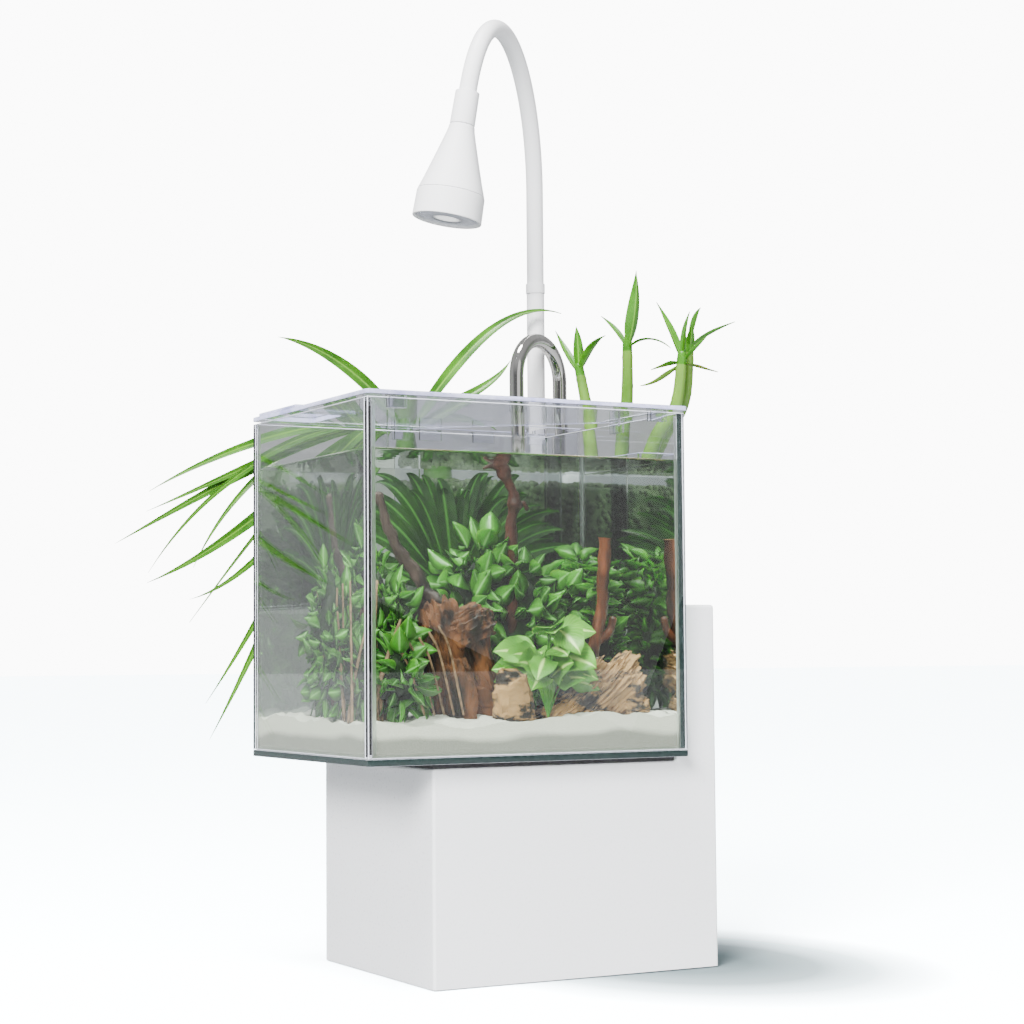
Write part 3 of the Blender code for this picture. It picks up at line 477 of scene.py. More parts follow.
def new_node(tree, kind, sockets=None, **values):
    """A node of a tree, with the values of its sockets by name or number and its own settings."""
    made = tree.nodes.new(kind)
    for key, value in values.items():
        setattr(made, key, value)
    for socket, value in (sockets or {}).items():
        made.inputs[socket].default_value = value
    return made


def stitch(shape, rings):
    """Faces between rings of equally many points, from each ring to the next."""
    for a, b in zip(rings, rings[1:]):
        for i in range(len(a)):
            j = (i + 1) % len(a)
            shape.faces.new((a[i], a[j], b[j], b[i]))


def close_below(shape, grid, depth):
    """Join a grid of points into a surface, and give it walls and a flat bottom at a height."""
    for a, b in zip(grid, grid[1:]):
        for i in range(len(a) - 1):
            shape.faces.new((a[i], a[i + 1], b[i + 1], b[i]))
    rim = [*grid[0], *[row[-1] for row in grid[1:]], *grid[-1][-2::-1],
           *[row[0] for row in grid[-2:0:-1]]]
    floor = [shape.verts.new((v.co.x, v.co.y, depth)) for v in rim]
    for i in range(len(rim)):
        j = (i + 1) % len(rim)
        shape.faces.new((rim[i], floor[i], floor[j], rim[j]))
    shape.faces.new(floor)


def ramp(tree, source, stops):
    made = new_node(tree, "ShaderNodeValToRGB")
    elements = made.color_ramp.elements
    while len(elements) < len(stops):
        elements.new(0.5)
    for element, (position, tone) in zip(elements, stops):
        element.position = position
        element.color = (*tone, 1.0)
    tree.links.new(source, made.inputs["Fac"])
    return made.outputs["Color"]


def shader_group(name, inputs, outputs):
    """A node group with named inputs and outputs, and its two end nodes."""
    tree = bpy.data.node_groups.new(name, "ShaderNodeTree")
    for label, kind, default in inputs:
        socket = tree.interface.new_socket(label, in_out="INPUT", socket_type=kind)
        socket.default_value = default
    for label, kind in outputs:
        tree.interface.new_socket(label, in_out="OUTPUT", socket_type=kind)
    return tree, tree.nodes.new("NodeGroupInput"), tree.nodes.new("NodeGroupOutput")


FLOAT, TONE, VECTOR = "NodeSocketFloat", "NodeSocketColor", "NodeSocketVector"


def mottle_group():
    """Two tones mixed by layered noise, with a matching height."""
    name = "mottle"
    if name in bpy.data.node_groups:
        return bpy.data.node_groups[name]
    tree, start, end = shader_group(
        name,
        [("Dark", TONE, (0, 0, 0, 1)), ("Light", TONE, (1, 1, 1, 1)), ("Scale", FLOAT, 100.0),
         ("Stretch", VECTOR, (1, 1, 1)), ("Contrast", FLOAT, 0.5)],
        [("Color", TONE), ("Height", FLOAT), ("Mask", FLOAT)])
    where = new_node(tree, "ShaderNodeTexCoord")
    stretch = new_node(tree, "ShaderNodeVectorMath", operation="MULTIPLY")
    coarse = new_node(tree, "ShaderNodeTexNoise")
    fine = new_node(tree, "ShaderNodeTexNoise")
    coarse.inputs["Detail"].default_value = 6
    fine.inputs["Detail"].default_value = 3
    finer = new_node(tree, "ShaderNodeMath", {1: 5.3}, operation="MULTIPLY")
    both = new_node(tree, "ShaderNodeMath", {1: 0.35}, operation="MULTIPLY_ADD")
    span = new_node(tree, "ShaderNodeMapRange")
    low = new_node(tree, "ShaderNodeMath", {1: 0.45, 2: 0.22}, operation="MULTIPLY_ADD")
    high = new_node(tree, "ShaderNodeMath", {0: 1.30}, operation="SUBTRACT")
    mix = new_node(tree, "ShaderNodeMix", data_type="RGBA")
    join(tree,
         (where.outputs["Object"], stretch.inputs[0]),
         (start.outputs["Stretch"], stretch.inputs[1]),
         (stretch.outputs["Vector"], coarse.inputs["Vector"]),
         (stretch.outputs["Vector"], fine.inputs["Vector"]),
         (start.outputs["Scale"], coarse.inputs["Scale"]),
         (start.outputs["Scale"], finer.inputs[0]), (finer.outputs[0], fine.inputs["Scale"]),
         (fine.outputs["Fac"], both.inputs[0]), (coarse.outputs["Fac"], both.inputs[2]),
         (both.outputs[0], span.inputs["Value"]),
         (start.outputs["Contrast"], low.inputs[0]), (low.outputs[0], span.inputs["From Min"]),
         (low.outputs[0], high.inputs[1]), (high.outputs[0], span.inputs["From Max"]),
         (span.outputs["Result"], mix.inputs["Factor"]),
         (start.outputs["Dark"], mix.inputs["A"]), (start.outputs["Light"], mix.inputs["B"]),
         (mix.outputs["Result"], end.inputs["Color"]),
         (both.outputs[0], end.inputs["Height"]), (span.outputs["Result"], end.inputs["Mask"]))
    return tree


def leaf_group():
    """Midrib, side veins and pale margins, read from the blade's own UV."""
    name = "leaf_markings"
    if name in bpy.data.node_groups:
        return bpy.data.node_groups[name]
    tree, start, end = shader_group(
        name,
        [("Deep", TONE, (0.02, 0.1, 0.02, 1)), ("Bright", TONE, (0.1, 0.4, 0.05, 1)),
         ("Vein", TONE, (0.3, 0.5, 0.2, 1)), ("Vein Count", FLOAT, 16.0),
         ("Margin", FLOAT, 0.0)],
        [("Color", TONE), ("Height", FLOAT)])
    uv = new_node(tree, "ShaderNodeUVMap")
    split = new_node(tree, "ShaderNodeSeparateXYZ")
    centred = new_node(tree, "ShaderNodeMath", {1: 0.5}, operation="SUBTRACT")
    away = new_node(tree, "ShaderNodeMath", operation="ABSOLUTE")
    rib = new_node(tree, "ShaderNodeMapRange", {"From Min": 0.09, "From Max": 0.015})
    slant = new_node(tree, "ShaderNodeMath", operation="SUBTRACT")
    rows = new_node(tree, "ShaderNodeMath", operation="MULTIPLY")
    saw = new_node(tree, "ShaderNodeMath", operation="SINE")
    turns = new_node(tree, "ShaderNodeMath", {1: 2 * math.pi}, operation="MULTIPLY")
    vein = new_node(tree, "ShaderNodeMapRange",
                    {"From Min": 0.72, "From Max": 1.0, "To Max": 0.30})
    tint = new_node(tree, "ShaderNodeAttribute", attribute_name="tint")
    where = new_node(tree, "ShaderNodeTexCoord")
    patch = new_node(tree, "ShaderNodeTexNoise", {"Scale": 45, "Detail": 4})
    blend = new_node(tree, "ShaderNodeMath", {1: 0.55}, operation="MULTIPLY_ADD")
    spread = new_node(tree, "ShaderNodeMapRange", {"From Min": 0.25, "From Max": 0.95})
    base = new_node(tree, "ShaderNodeMix", data_type="RGBA")
    veined = new_node(tree, "ShaderNodeMix", data_type="RGBA")
    most = new_node(tree, "ShaderNodeMath", operation="MAXIMUM")
    edge = new_node(tree, "ShaderNodeMapRange", {"From Min": 0.30, "From Max": 0.46})
    margin = new_node(tree, "ShaderNodeMath", operation="MULTIPLY")
    most_of_all = new_node(tree, "ShaderNodeMath", operation="MAXIMUM")
    join(tree,
         (uv.outputs["UV"], split.inputs[0]), (split.outputs["X"], centred.inputs[0]),
         (centred.outputs[0], away.inputs[0]), (away.outputs[0], rib.inputs["Value"]),
         (split.outputs["Y"], slant.inputs[0]), (away.outputs[0], slant.inputs[1]),
         (slant.outputs[0], rows.inputs[0]), (start.outputs["Vein Count"], rows.inputs[1]),
         (rows.outputs[0], turns.inputs[0]), (turns.outputs[0], saw.inputs[0]),
         (saw.outputs[0], vein.inputs["Value"]),
         (rib.outputs["Result"], most.inputs[0]), (vein.outputs["Result"], most.inputs[1]),
         (away.outputs[0], edge.inputs["Value"]), (edge.outputs["Result"], margin.inputs[0]),
         (start.outputs["Margin"], margin.inputs[1]),
         (most.outputs[0], most_of_all.inputs[0]), (margin.outputs[0], most_of_all.inputs[1]),
         (where.outputs["Object"], patch.inputs["Vector"]),
         (tint.outputs["Fac"], blend.inputs[0]), (patch.outputs["Fac"], blend.inputs[2]),
         (blend.outputs[0], spread.inputs["Value"]),
         (spread.outputs["Result"], base.inputs["Factor"]),
         (start.outputs["Deep"], base.inputs["A"]), (start.outputs["Bright"], base.inputs["B"]),
         (most_of_all.outputs[0], veined.inputs["Factor"]),
         (base.outputs["Result"], veined.inputs["A"]), (start.outputs["Vein"], veined.inputs["B"]),
         (veined.outputs["Result"], end.inputs["Color"]), (most.outputs[0], end.inputs["Height"]))
    return tree


def surface(name, roughness, metallic=0.0, **plain):
    """A material with its Principled shader ready for more nodes."""
    made = bpy.data.materials.new(name)
    made.use_nodes = True
    tree = made.node_tree
    shader = tree.nodes["Principled BSDF"]
    shader.inputs["Roughness"].default_value = roughness
    shader.inputs["Metallic"].default_value = metallic
    for label, value in plain.items():
        shader.inputs[label.replace("_", " ")].default_value = value
    return made, tree, shader


def add_bump(tree, shader, height, strength, distance=0.001):
    bump = new_node(tree, "ShaderNodeBump", {"Strength": strength, "Distance": distance})
    join(tree, (height, bump.inputs["Height"]), (bump.outputs["Normal"], shader.inputs["Normal"]))


def mottled(name, dark, light, scale, roughness, contrast=0.5, stretch=(1, 1, 1), bump=0.2,
            distance=0.0006, metallic=0.0, rough_spread=0.08, **plain):
    """A solid finish whose colour, gloss and height vary together."""
    made, tree, shader = surface(name, roughness, metallic, **plain)
    group = new_node(tree, "ShaderNodeGroup",
                     {"Dark": (*dark, 1), "Light": (*light, 1), "Scale": scale,
                      "Stretch": stretch, "Contrast": contrast}, node_tree=mottle_group())
    gloss = new_node(tree, "ShaderNodeMapRange",
                     {"To Min": max(0.02, roughness - rough_spread),
                      "To Max": min(1.0, roughness + rough_spread)})
    join(tree, (group.outputs["Color"], shader.inputs["Base Color"]),
         (group.outputs["Mask"], gloss.inputs["Value"]),
         (gloss.outputs["Result"], shader.inputs["Roughness"]))
    add_bump(tree, shader, group.outputs["Height"], bump, distance)
    return made


def leafy(name, deep, bright, vein, veins=14.0, roughness=0.34, margin=0.0, glow=0.16):
    """A living leaf: waxy, veined, and lit through by light from behind."""
    made, tree, shader = surface(name, roughness, Specular_IOR_Level=0.45)
    shader.inputs["Subsurface Weight"].default_value = glow
    shader.inputs["Subsurface Radius"].default_value = (0.4, 0.9, 0.15)
    shader.inputs["Subsurface Scale"].default_value = 0.002
    group = new_node(tree, "ShaderNodeGroup",
                     {"Deep": (*deep, 1), "Bright": (*bright, 1), "Vein": (*vein, 1),
                      "Vein Count": veins, "Margin": margin}, node_tree=leaf_group())
    join(tree, (group.outputs["Color"], shader.inputs["Base Color"]))
    add_bump(tree, shader, group.outputs["Height"], 0.35, 0.0003)
    return made


def see_through(name, tint, ior, roughness=0.0, haze=0.0, scale=260.0, bump=0.0):
    """Glass, acrylic or water.  Shadows pass through it, so that what it holds is lit."""
    made, tree, shader = surface(name, roughness, Transmission_Weight=1.0, IOR=ior)
    group = new_node(tree, "ShaderNodeGroup",
                     {"Dark": (*[c * (1 - haze) for c in tint], 1), "Light": (*tint, 1),
                      "Scale": scale}, node_tree=mottle_group())
    join(tree, (group.outputs["Color"], shader.inputs["Base Color"]))
    if bump:
        add_bump(tree, shader, group.outputs["Height"], bump, 0.0005)
    clear = new_node(tree, "ShaderNodeBsdfTransparent", {"Color": (*[c ** 0.5 for c in tint], 1)})
    light_path = new_node(tree, "ShaderNodeLightPath")
    deep = new_node(tree, "ShaderNodeMath", {1: 8.5}, operation="GREATER_THAN")
    passes = new_node(tree, "ShaderNodeMath", operation="MAXIMUM")
    mix = new_node(tree, "ShaderNodeMixShader")
    out = tree.nodes["Material Output"]
    join(tree, (light_path.outputs["Ray Depth"], deep.inputs[0]),
         (deep.outputs[0], passes.inputs[0]),
         (light_path.outputs["Is Shadow Ray"], passes.inputs[1]),
         (passes.outputs[0], mix.inputs[0]),
         (shader.outputs["BSDF"], mix.inputs[1]), (clear.outputs["BSDF"], mix.inputs[2]),
         (mix.outputs["Shader"], out.inputs["Surface"]))
    return made


LOOKS = {}


def look(name):
    """Each finish is made once, when a piece first asks for it."""
    if name not in LOOKS:
        LOOKS[name] = FINISHES[name]()
    return LOOKS[name]


def lacquer():
    tone = settings("stand_settings").lacquer
    return mottled("satin_lacquer", [c * 0.985 for c in tone], tone, 420, 0.30, bump=0.035,
                   distance=0.0002, rough_spread=0.05, Coat_Weight=0.25)


def lamp_plastic():
    tone = settings("lamp_settings").plastic
    return mottled("satin_white_plastic", [c * 0.97 for c in tone], tone, 700, 0.42, bump=0.06,
                   distance=0.0002, rough_spread=0.06)


def lens_finish():
    """Clear moulded lens with the light source glowing in its middle."""
    made, tree, shader = surface("lens_with_light", 0.12)
    where = new_node(tree, "ShaderNodeTexCoord")
    centre = new_node(tree, "ShaderNodeVectorMath", {1: LENS_CENTRE}, operation="DISTANCE")
    fade = ramp(tree, centre.outputs["Value"], [(0.0, (1, 1, 1)), (0.0080, (1, 1, 1)),
                                                (0.0115, (0.06, 0.065, 0.08)),
                                                (0.0185, (0.20, 0.21, 0.25)),
                                                (0.0240, (0.09, 0.10, 0.13)),
                                                (0.0262, (0.55, 0.56, 0.60))])
    join(tree, (where.outputs["Object"], centre.inputs[0]),
         (fade, shader.inputs["Base Color"]), (fade, shader.inputs["Emission Color"]))
    shader.inputs["Emission Strength"].default_value = settings("lamp_settings").glow * 0.2
    return made


def sand_finish():
    """White sand, pale on top and darker below its top, which is painted shade."""
    made, tree, shader = surface("white_sand", 0.85)
    grains = new_node(tree, "ShaderNodeGroup",
                      {"Dark": (0.34, 0.32, 0.29, 1), "Light": (0.64, 0.62, 0.59, 1),
                       "Scale": 1300}, node_tree=mottle_group())
    where = new_node(tree, "ShaderNodeTexCoord")
    split = new_node(tree, "ShaderNodeSeparateXYZ")
    waves = new_node(tree, "ShaderNodeTexNoise", {"Scale": 16, "Detail": 1.5})
    line = new_node(tree, "ShaderNodeMath", {1: 0.020, 2: -0.010}, operation="MULTIPLY_ADD")
    height = new_node(tree, "ShaderNodeMath", operation="ADD")
    # Painted shade: the colour drops to 0.4 where the sand lies more than about a centimetre below
    # its wavy top.
    deep = new_node(tree, "ShaderNodeMapRange",
                    {"From Min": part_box("sand_bed")[1].z - 0.0150,
                     "From Max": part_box("sand_bed")[1].z - 0.0100, "To Min": 0.40})
    shade = new_node(tree, "ShaderNodeMix",
                     {"Factor": 1.0}, data_type="RGBA", blend_type="MULTIPLY")
    tone = new_node(tree, "ShaderNodeCombineColor")
    join(tree, (where.outputs["Object"], split.inputs[0]),
         (where.outputs["Object"], waves.inputs["Vector"]), (waves.outputs["Fac"], line.inputs[0]),
         (line.outputs[0], height.inputs[0]), (split.outputs["Z"], height.inputs[1]),
         (height.outputs[0], deep.inputs["Value"]),
         *[(deep.outputs["Result"], tone.inputs[part]) for part in ("Red", "Green", "Blue")],
         (grains.outputs["Color"], shade.inputs["A"]), (tone.outputs["Color"], shade.inputs["B"]),
         (shade.outputs["Result"], shader.inputs["Base Color"]))
    add_bump(tree, shader, grains.outputs["Height"], 0.5, 0.0005)
    return made


def steel_finish():
    return mottled("polished_steel", (0.55, 0.53, 0.50), (0.74, 0.72, 0.69), 60, 0.10,
                   stretch=(1, 1, 0.05), bump=0.02, distance=0.0002, metallic=1.0,
                   rough_spread=0.04)


def plant_tones():
    chosen = settings("plant_settings")
    return tuple(chosen.deep_green), tuple(chosen.bright_green)


def tones(deep_share, bright_share):
    deep, bright = plant_tones()
    return [c * deep_share for c in deep], [min(1, c * bright_share) for c in bright]


FINISHES = {
    "lacquer": lacquer,
    "board": lambda: mottled("raw_board", (0.42, 0.33, 0.22), (0.66, 0.55, 0.40), 130, 0.75,
                             stretch=(1, 0.1, 1), bump=0.3),
    "rubber": lambda: mottled("black_rubber", (0.015, 0.015, 0.016), (0.045, 0.045, 0.047), 500,
                              0.85, bump=0.4),
    "black_plastic": lambda: mottled("black_plastic", (0.018, 0.018, 0.020),
                                     (0.040, 0.040, 0.044), 900, 0.42, bump=0.15),
    "glass": lambda: see_through("tank_glass", tuple(settings("tank_settings").glass_tint), 1.5,
                                 haze=0.01),
    "cut_edge": lambda: mottled("cut_glass_edge", (0.006, 0.014, 0.013), (0.020, 0.036, 0.034),
                                300, 0.12, bump=0.02, Transmission_Weight=0.25, IOR=1.5),
    # Painted highlight: the panes' chamfers are opaque pale grey, in place of the bright lines of
    # light along the glass edges.
    "chamfer": lambda: mottled("chamfer_painted_highlight", (0.46, 0.48, 0.54), (0.66, 0.68, 0.74), 300,
                               0.12, bump=0.02),
    "water": lambda: see_through("still_water", tuple(settings("tank_settings").water_tint),
                                 1.333, haze=0.02, scale=30.0),
    "acrylic": lambda: see_through("clear_acrylic", tuple(settings("lid_settings").edge_tint),
                                   1.49, haze=0.015),
    # Painted light: a pale bluish glow for the acrylic's cut edges and rims, standing in for light
    # gathered in them.
    "acrylic_edge": lambda: mottled("acrylic_edge_painted_glow", (0.34, 0.35, 0.62), (0.74, 0.76, 0.98), 40,
                                    0.12, bump=0.03, Transmission_Weight=0.35, IOR=1.49),
    "hose": lambda: see_through("clear_hose", (0.93, 0.95, 0.95), 1.42, roughness=0.06,
                                haze=0.05),
    "silicone": lambda: see_through("clear_silicone", (0.86, 0.90, 0.90), 1.40, roughness=0.35,
                                    haze=0.06),
    "sand": sand_finish,
    "steel": steel_finish,
    "lamp": lamp_plastic,
    "lens": lens_finish,
    "mirror": lambda: mottled("bright_reflector", (0.80, 0.80, 0.82), (0.93, 0.93, 0.95), 200,
                              0.08, bump=0.02, metallic=1.0, rough_spread=0.03),
    "red_wood": lambda: mottled("red_root_wood", (0.005, 0.002, 0.001), (0.042, 0.011, 0.006), 95,
                                0.55, contrast=0.6, stretch=(1, 1, 0.3), bump=0.8,
                                distance=0.0012),
    "orange_wood": lambda: mottled("wet_cut_wood", (0.006, 0.002, 0.001), (0.105, 0.028, 0.008),
                                   80, 0.50, contrast=0.6, stretch=(1, 1, 0.2), bump=0.7,
                                   distance=0.0010),
    "root": lambda: mottled("pale_thin_root", (0.05, 0.025, 0.014), (0.26, 0.16, 0.10), 180, 0.6,
                            bump=0.4),
    "end_grain": lambda: mottled("cut_end_grain", (0.26, 0.12, 0.04), (0.50, 0.29, 0.13), 300,
                                 0.65, bump=0.4),
    "dark_wood": lambda: mottled("dark_driftwood", (0.008, 0.006, 0.006), (0.060, 0.038, 0.034),
                                 80, 0.60, contrast=0.6, stretch=(1, 1, 0.3), bump=0.9,
                                 distance=0.0014),
    "brown_stone": lambda: mottled("brown_layered_stone", (0.005, 0.002, 0.001),
                                   (0.105, 0.038, 0.014), 42, 0.68, contrast=0.75,
                                   stretch=(1.2, 1.2, 0.45), bump=1.0, distance=0.0022),
    "tan_stone": lambda: mottled("tan_rugged_stone", (0.007, 0.004, 0.002), (0.27, 0.150, 0.065),
                                 55, 0.75, contrast=0.85, stretch=(0.7, 1.2, 1.6), bump=1.0,
                                 distance=0.0020),
    "pebbles": lambda: mottled("mossy_clay", (0.016, 0.030, 0.012), (0.075, 0.105, 0.048), 90,
                               0.85, bump=0.5),
    "strap_leaf": lambda: leafy("strap_leaf", *tones(0.8, 0.42), (0.04, 0.15, 0.02), 0.0),
    "clump_leaf": lambda: leafy("clump_leaf", *tones(1.0, 1.2), (0.16, 0.36, 0.11), 9.0),
    "pale_leaf": lambda: leafy("pale_leaf", (0.016, 0.115, 0.006), (0.13, 0.36, 0.030),
                               (0.42, 0.58, 0.18), 9.0),
    # Painted shade: a near-black finish for the mounds inside the leaf clumps, so that gaps between
    # leaves look shadowed.
    "shade": lambda: mottled("painted_shade_core", (0.001, 0.004, 0.001), (0.006, 0.020, 0.003), 260,
                             0.8, bump=0.6),
    "moss": lambda: leafy("fine_moss", *tones(0.9, 0.9), (0.07, 0.24, 0.03), 5.0),
    "spider_leaf": lambda: leafy("arching_leaf", (0.014, 0.070, 0.004), (0.062, 0.205, 0.008),
                                 (0.12, 0.28, 0.025), 0.0),
    "bamboo_leaf": lambda: leafy("bamboo_leaf", (0.018, 0.095, 0.004), (0.065, 0.235, 0.009),
                                 (0.12, 0.30, 0.03), 0.0),
    "stalk": lambda: mottled("waxy_stalk", (0.045, 0.135, 0.009), (0.14, 0.27, 0.032), 34, 0.38,
                             contrast=0.35, stretch=(1, 1, 0.3), bump=0.15,
                             Subsurface_Weight=0.1, Subsurface_Scale=0.003),
}


# ---------------------------------------------------------------- scattering

def scatter_tree():
    """Points on a surface become leaves or pebbles of random size, turn and tint."""
    name = "scatter_on_surface"
    if name in bpy.data.node_groups:
        return bpy.data.node_groups[name]
    tree = bpy.data.node_groups.new(name, "GeometryNodeTree")
    tree.is_modifier = True
    face = tree.interface
    face.new_socket("Surface", in_out="INPUT", socket_type="NodeSocketGeometry")
    for label, kind in (("Shape", "NodeSocketObject"), ("Density", FLOAT), ("Smallest", FLOAT),
                        ("Largest", FLOAT), ("Least Tilt", FLOAT), ("Most Tilt", FLOAT),
                        ("Seed", "NodeSocketInt"), ("Finish", "NodeSocketMaterial")):
        face.new_socket(label, in_out="INPUT", socket_type=kind)
    face.new_socket("Result", in_out="OUTPUT", socket_type="NodeSocketGeometry")
    start, end = tree.nodes.new("NodeGroupInput"), tree.nodes.new("NodeGroupOutput")
    spread = new_node(tree, "GeometryNodeDistributePointsOnFaces")
    shape = new_node(tree, "GeometryNodeObjectInfo", transform_space="ORIGINAL")
    low = new_node(tree, "ShaderNodeCombineXYZ")
    high = new_node(tree, "ShaderNodeCombineXYZ", {"Z": 2 * math.pi})
    turn = new_node(tree, "FunctionNodeRandomValue", data_type="FLOAT_VECTOR")
    euler = new_node(tree, "FunctionNodeEulerToRotation")
    rotate = new_node(tree, "FunctionNodeRotateRotation", rotation_space="LOCAL")
    scale = new_node(tree, "FunctionNodeRandomValue", data_type="FLOAT")
    tint = new_node(tree, "FunctionNodeRandomValue", data_type="FLOAT")
    put = new_node(tree, "GeometryNodeInstanceOnPoints")
    store = new_node(tree, "GeometryNodeStoreNamedAttribute", data_type="FLOAT",
                     domain="INSTANCE")
    store.inputs["Name"].default_value = "tint"
    real = new_node(tree, "GeometryNodeRealizeInstances")
    coat = new_node(tree, "GeometryNodeSetMaterial")
    scale_out = [s for s in scale.outputs if s.enabled][0]
    tint_out = [s for s in tint.outputs if s.enabled][0]
    turn_out = [s for s in turn.outputs if s.enabled][0]
    scale_in = [s for s in scale.inputs if s.enabled]
    turn_in = [s for s in turn.inputs if s.enabled]
    tint_in = [s for s in tint.inputs if s.enabled]
    join(tree,
         (start.outputs["Surface"], spread.inputs["Mesh"]),
         (start.outputs["Density"], spread.inputs["Density"]),
         (start.outputs["Seed"], spread.inputs["Seed"]),
         (start.outputs["Shape"], shape.inputs["Object"]),
         (start.outputs["Least Tilt"], low.inputs["X"]),
         (start.outputs["Most Tilt"], high.inputs["X"]),
         (low.outputs[0], turn_in[0]), (high.outputs[0], turn_in[1]),
         (start.outputs["Seed"], turn_in[-1]),
         (turn_out, euler.inputs[0]), (spread.outputs["Rotation"], rotate.inputs["Rotation"]),
         (euler.outputs[0], rotate.inputs["Rotate By"]),
         (start.outputs["Smallest"], scale_in[0]), (start.outputs["Largest"], scale_in[1]),
         (start.outputs["Seed"], scale_in[-1]), (start.outputs["Seed"], tint_in[-1]),
         (spread.outputs["Points"], put.inputs["Points"]),
         (shape.outputs["Geometry"], put.inputs["Instance"]),
         (rotate.outputs[0], put.inputs["Rotation"]), (scale_out, put.inputs["Scale"]),
         (put.outputs["Instances"], store.inputs["Geometry"]),
         (tint_out, store.inputs["Value"]),
         (store.outputs["Geometry"], real.inputs["Geometry"]),
         (real.outputs["Geometry"], coat.inputs["Geometry"]),
         (start.outputs["Finish"], coat.inputs["Material"]),
         (coat.outputs["Geometry"], end.inputs["Result"]))
    return tree


def loose_object(name, shape):
    """A shape that only feeds another one, and is removed afterwards."""
    mesh = bpy.data.meshes.new(name)
    bmesh.ops.recalc_face_normals(shape, faces=shape.faces)
    shape.to_mesh(mesh)
    shape.free()
    made = bpy.data.objects.new(name, mesh)
    bpy.context.scene.collection.objects.link(made)
    return made


def scatter(name, ground, shape, finish, density, sizes, tilts, seed, replaces=()):
    """Scatter a shape over a ground.  Both are bmeshes that are used up."""
    surface_object = loose_object(name, ground)
    part = loose_object(f"{name}_shape", shape)
    change = surface_object.modifiers.new("scatter", "NODES")
    change.node_group = scatter_tree()
    values = {"Shape": part, "Density": density, "Smallest": sizes[0], "Largest": sizes[1],
              "Least Tilt": tilts[0], "Most Tilt": tilts[1], "Seed": seed, "Finish": finish}
    for item in change.node_group.interface.items_tree:
        if item.in_out == "INPUT" and item.name in values:
            change[item.identifier] = values[item.name]
    plain_mesh(surface_object)
    bpy.data.objects.remove(part)
    surface_object.data.shade_smooth()
    place(surface_object, "base", replaces)
    return surface_object


def keep_inside(thing):
    """Press leaves flat against the panes instead of letting them through."""
    low = Vector((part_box("tank_left")[1].x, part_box("tank_front")[1].y, 0)) + LEAF_TO_GLASS
    high = Vector((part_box("tank_right")[0].x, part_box("tank_back")[0].y, 1)) - LEAF_TO_GLASS
    for vertex in thing.data.vertices:
        for axis in (0, 1):
            vertex.co[axis] = min(max(vertex.co[axis], low[axis]), high[axis])


def clump(name, low, high, leaf, finish, density, sizes, tilts, seed, lumps=0.5, replaces=()):
    """Leaves on an inner mound whose near-black finish is painted shade between them."""
    low, high = Vector(low), Vector(high)
    keep_inside(scatter(name, mound(low, high, seed, lumps), leaf, look(finish), density, sizes,
                        tilts, seed, replaces))
    # The heart is a smaller dark mound, painted shade seen through the gaps.
    shrink = (high - low) * 0.09
    keep_inside(piece(f"{name}_heart", mound(low + shrink, high - shrink, seed, lumps),
                      look("shade"), "base", (), sharp=180))


def mound(low, high, seed, lumps=0.22, detail=4):
    """A lumpy closed ground that fills a box, for leaves to grow on."""
    low, high = Vector(low), Vector(high)
    shape = bmesh.new()
    bmesh.ops.create_icosphere(shape, subdivisions=detail, radius=1.0)
    shift = Vector((seed, seed * 2, seed * 3))
    for vertex in shape.verts:
        swell = 1 + lumps * noise.noise(vertex.co * 1.7 + shift)
        spot = vertex.co * swell
        spot.z = max(spot.z, -0.7)
        vertex.co = (low + high) / 2 + Vector(a * b / 2 for a, b in zip(spot, high - low))
    return shape


def small_leaf(length, half_width, droop=0.25, broad=0.42, rows=6):
    """One leaf to scatter.  It grows along +Z and faces +Y."""
    shape = bmesh.new()
    points = [Vector((0, droop * length * (k / rows) ** 2, length * k / rows))
              for k in range(rows + 1)]
    add_blade(shape, points, half_width, lambda share: leaf_width(share, broad), fold=0.25,
              thickness=0.0004, across=2, lean=Vector((0, -1, 0)))
    return shape


# ---------------------------------------------------------------- stand

class AQUARIUM_OT_stand(bpy.types.Operator):
    """White L-shaped cabinet, with its pad, board and power unit"""
    bl_idname = "aquarium.stand"
    bl_label = "Stand"

    def execute(self, context):
        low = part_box("front_panel")[0]
        x1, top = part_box("right_panel")[1].x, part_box("right_panel")[1].z
        inner_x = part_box("upright_inner_panel")[0].x
        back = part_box("back_panel")[1].y
        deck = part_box("deck_panel")[1].z
        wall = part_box("front_panel")[1].y - low.y
        outline = [(low.x, low.z), (x1, low.z), (x1, top), (inner_x, top), (inner_x, deck),
                   (low.x, deck)]
        shape = bmesh.new()
        faces = add_outline(shape, outline, low.y, back, axis=1)
        floor_faces = [f for f in faces if f.calc_center_median().z < low.z + 1e-5]
        bmesh.ops.delete(shape, geom=floor_faces, context="FACES")
        edges = [e for e in shape.edges if not e.is_boundary]
        bevel(shape, edges, settings("stand_settings").edge_radius, 4)
        bmesh.ops.recalc_face_normals(shape, faces=shape.faces)
        bmesh.ops.solidify(shape, geom=list(shape.faces), thickness=wall * 0.97)
        stand = piece("stand_cabinet", shape, look("lacquer"), "base",
                      ["front_panel", "back_panel", "left_panel", "right_panel", "deck_panel",
                       "upright_inner_panel", "upright_cap"], sharp=60,
                      flat=True)
        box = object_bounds()
        if stand.dimensions.length > (box[1] - box[0]).length:
            raise RuntimeError("the cabinet's wall grew outwards")
        dress(look("rubber"), "base_pad", "tank_mat")
        dress(look("board"), "floor_panel")
        dress(look("black_plastic"), "power_inlet")
        low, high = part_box("power_unit")
        shape = bmesh.new()
        add_block(shape, low, high, 0.004, 3)
        for k in range(9):
            x = low.x + 0.010 + k * (high.x - low.x - 0.020) / 8
            add_block(shape, (x - 0.0012, low.y + 0.012, high.z - 0.0004),
                      (x + 0.0012, high.y - 0.012, high.z + 0.0008), 0.0004, 1)
        piece("power_unit_case", shape, look("black_plastic"), "base", ["power_unit"])
        return {"FINISHED"}


# ---------------------------------------------------------------- tank and water

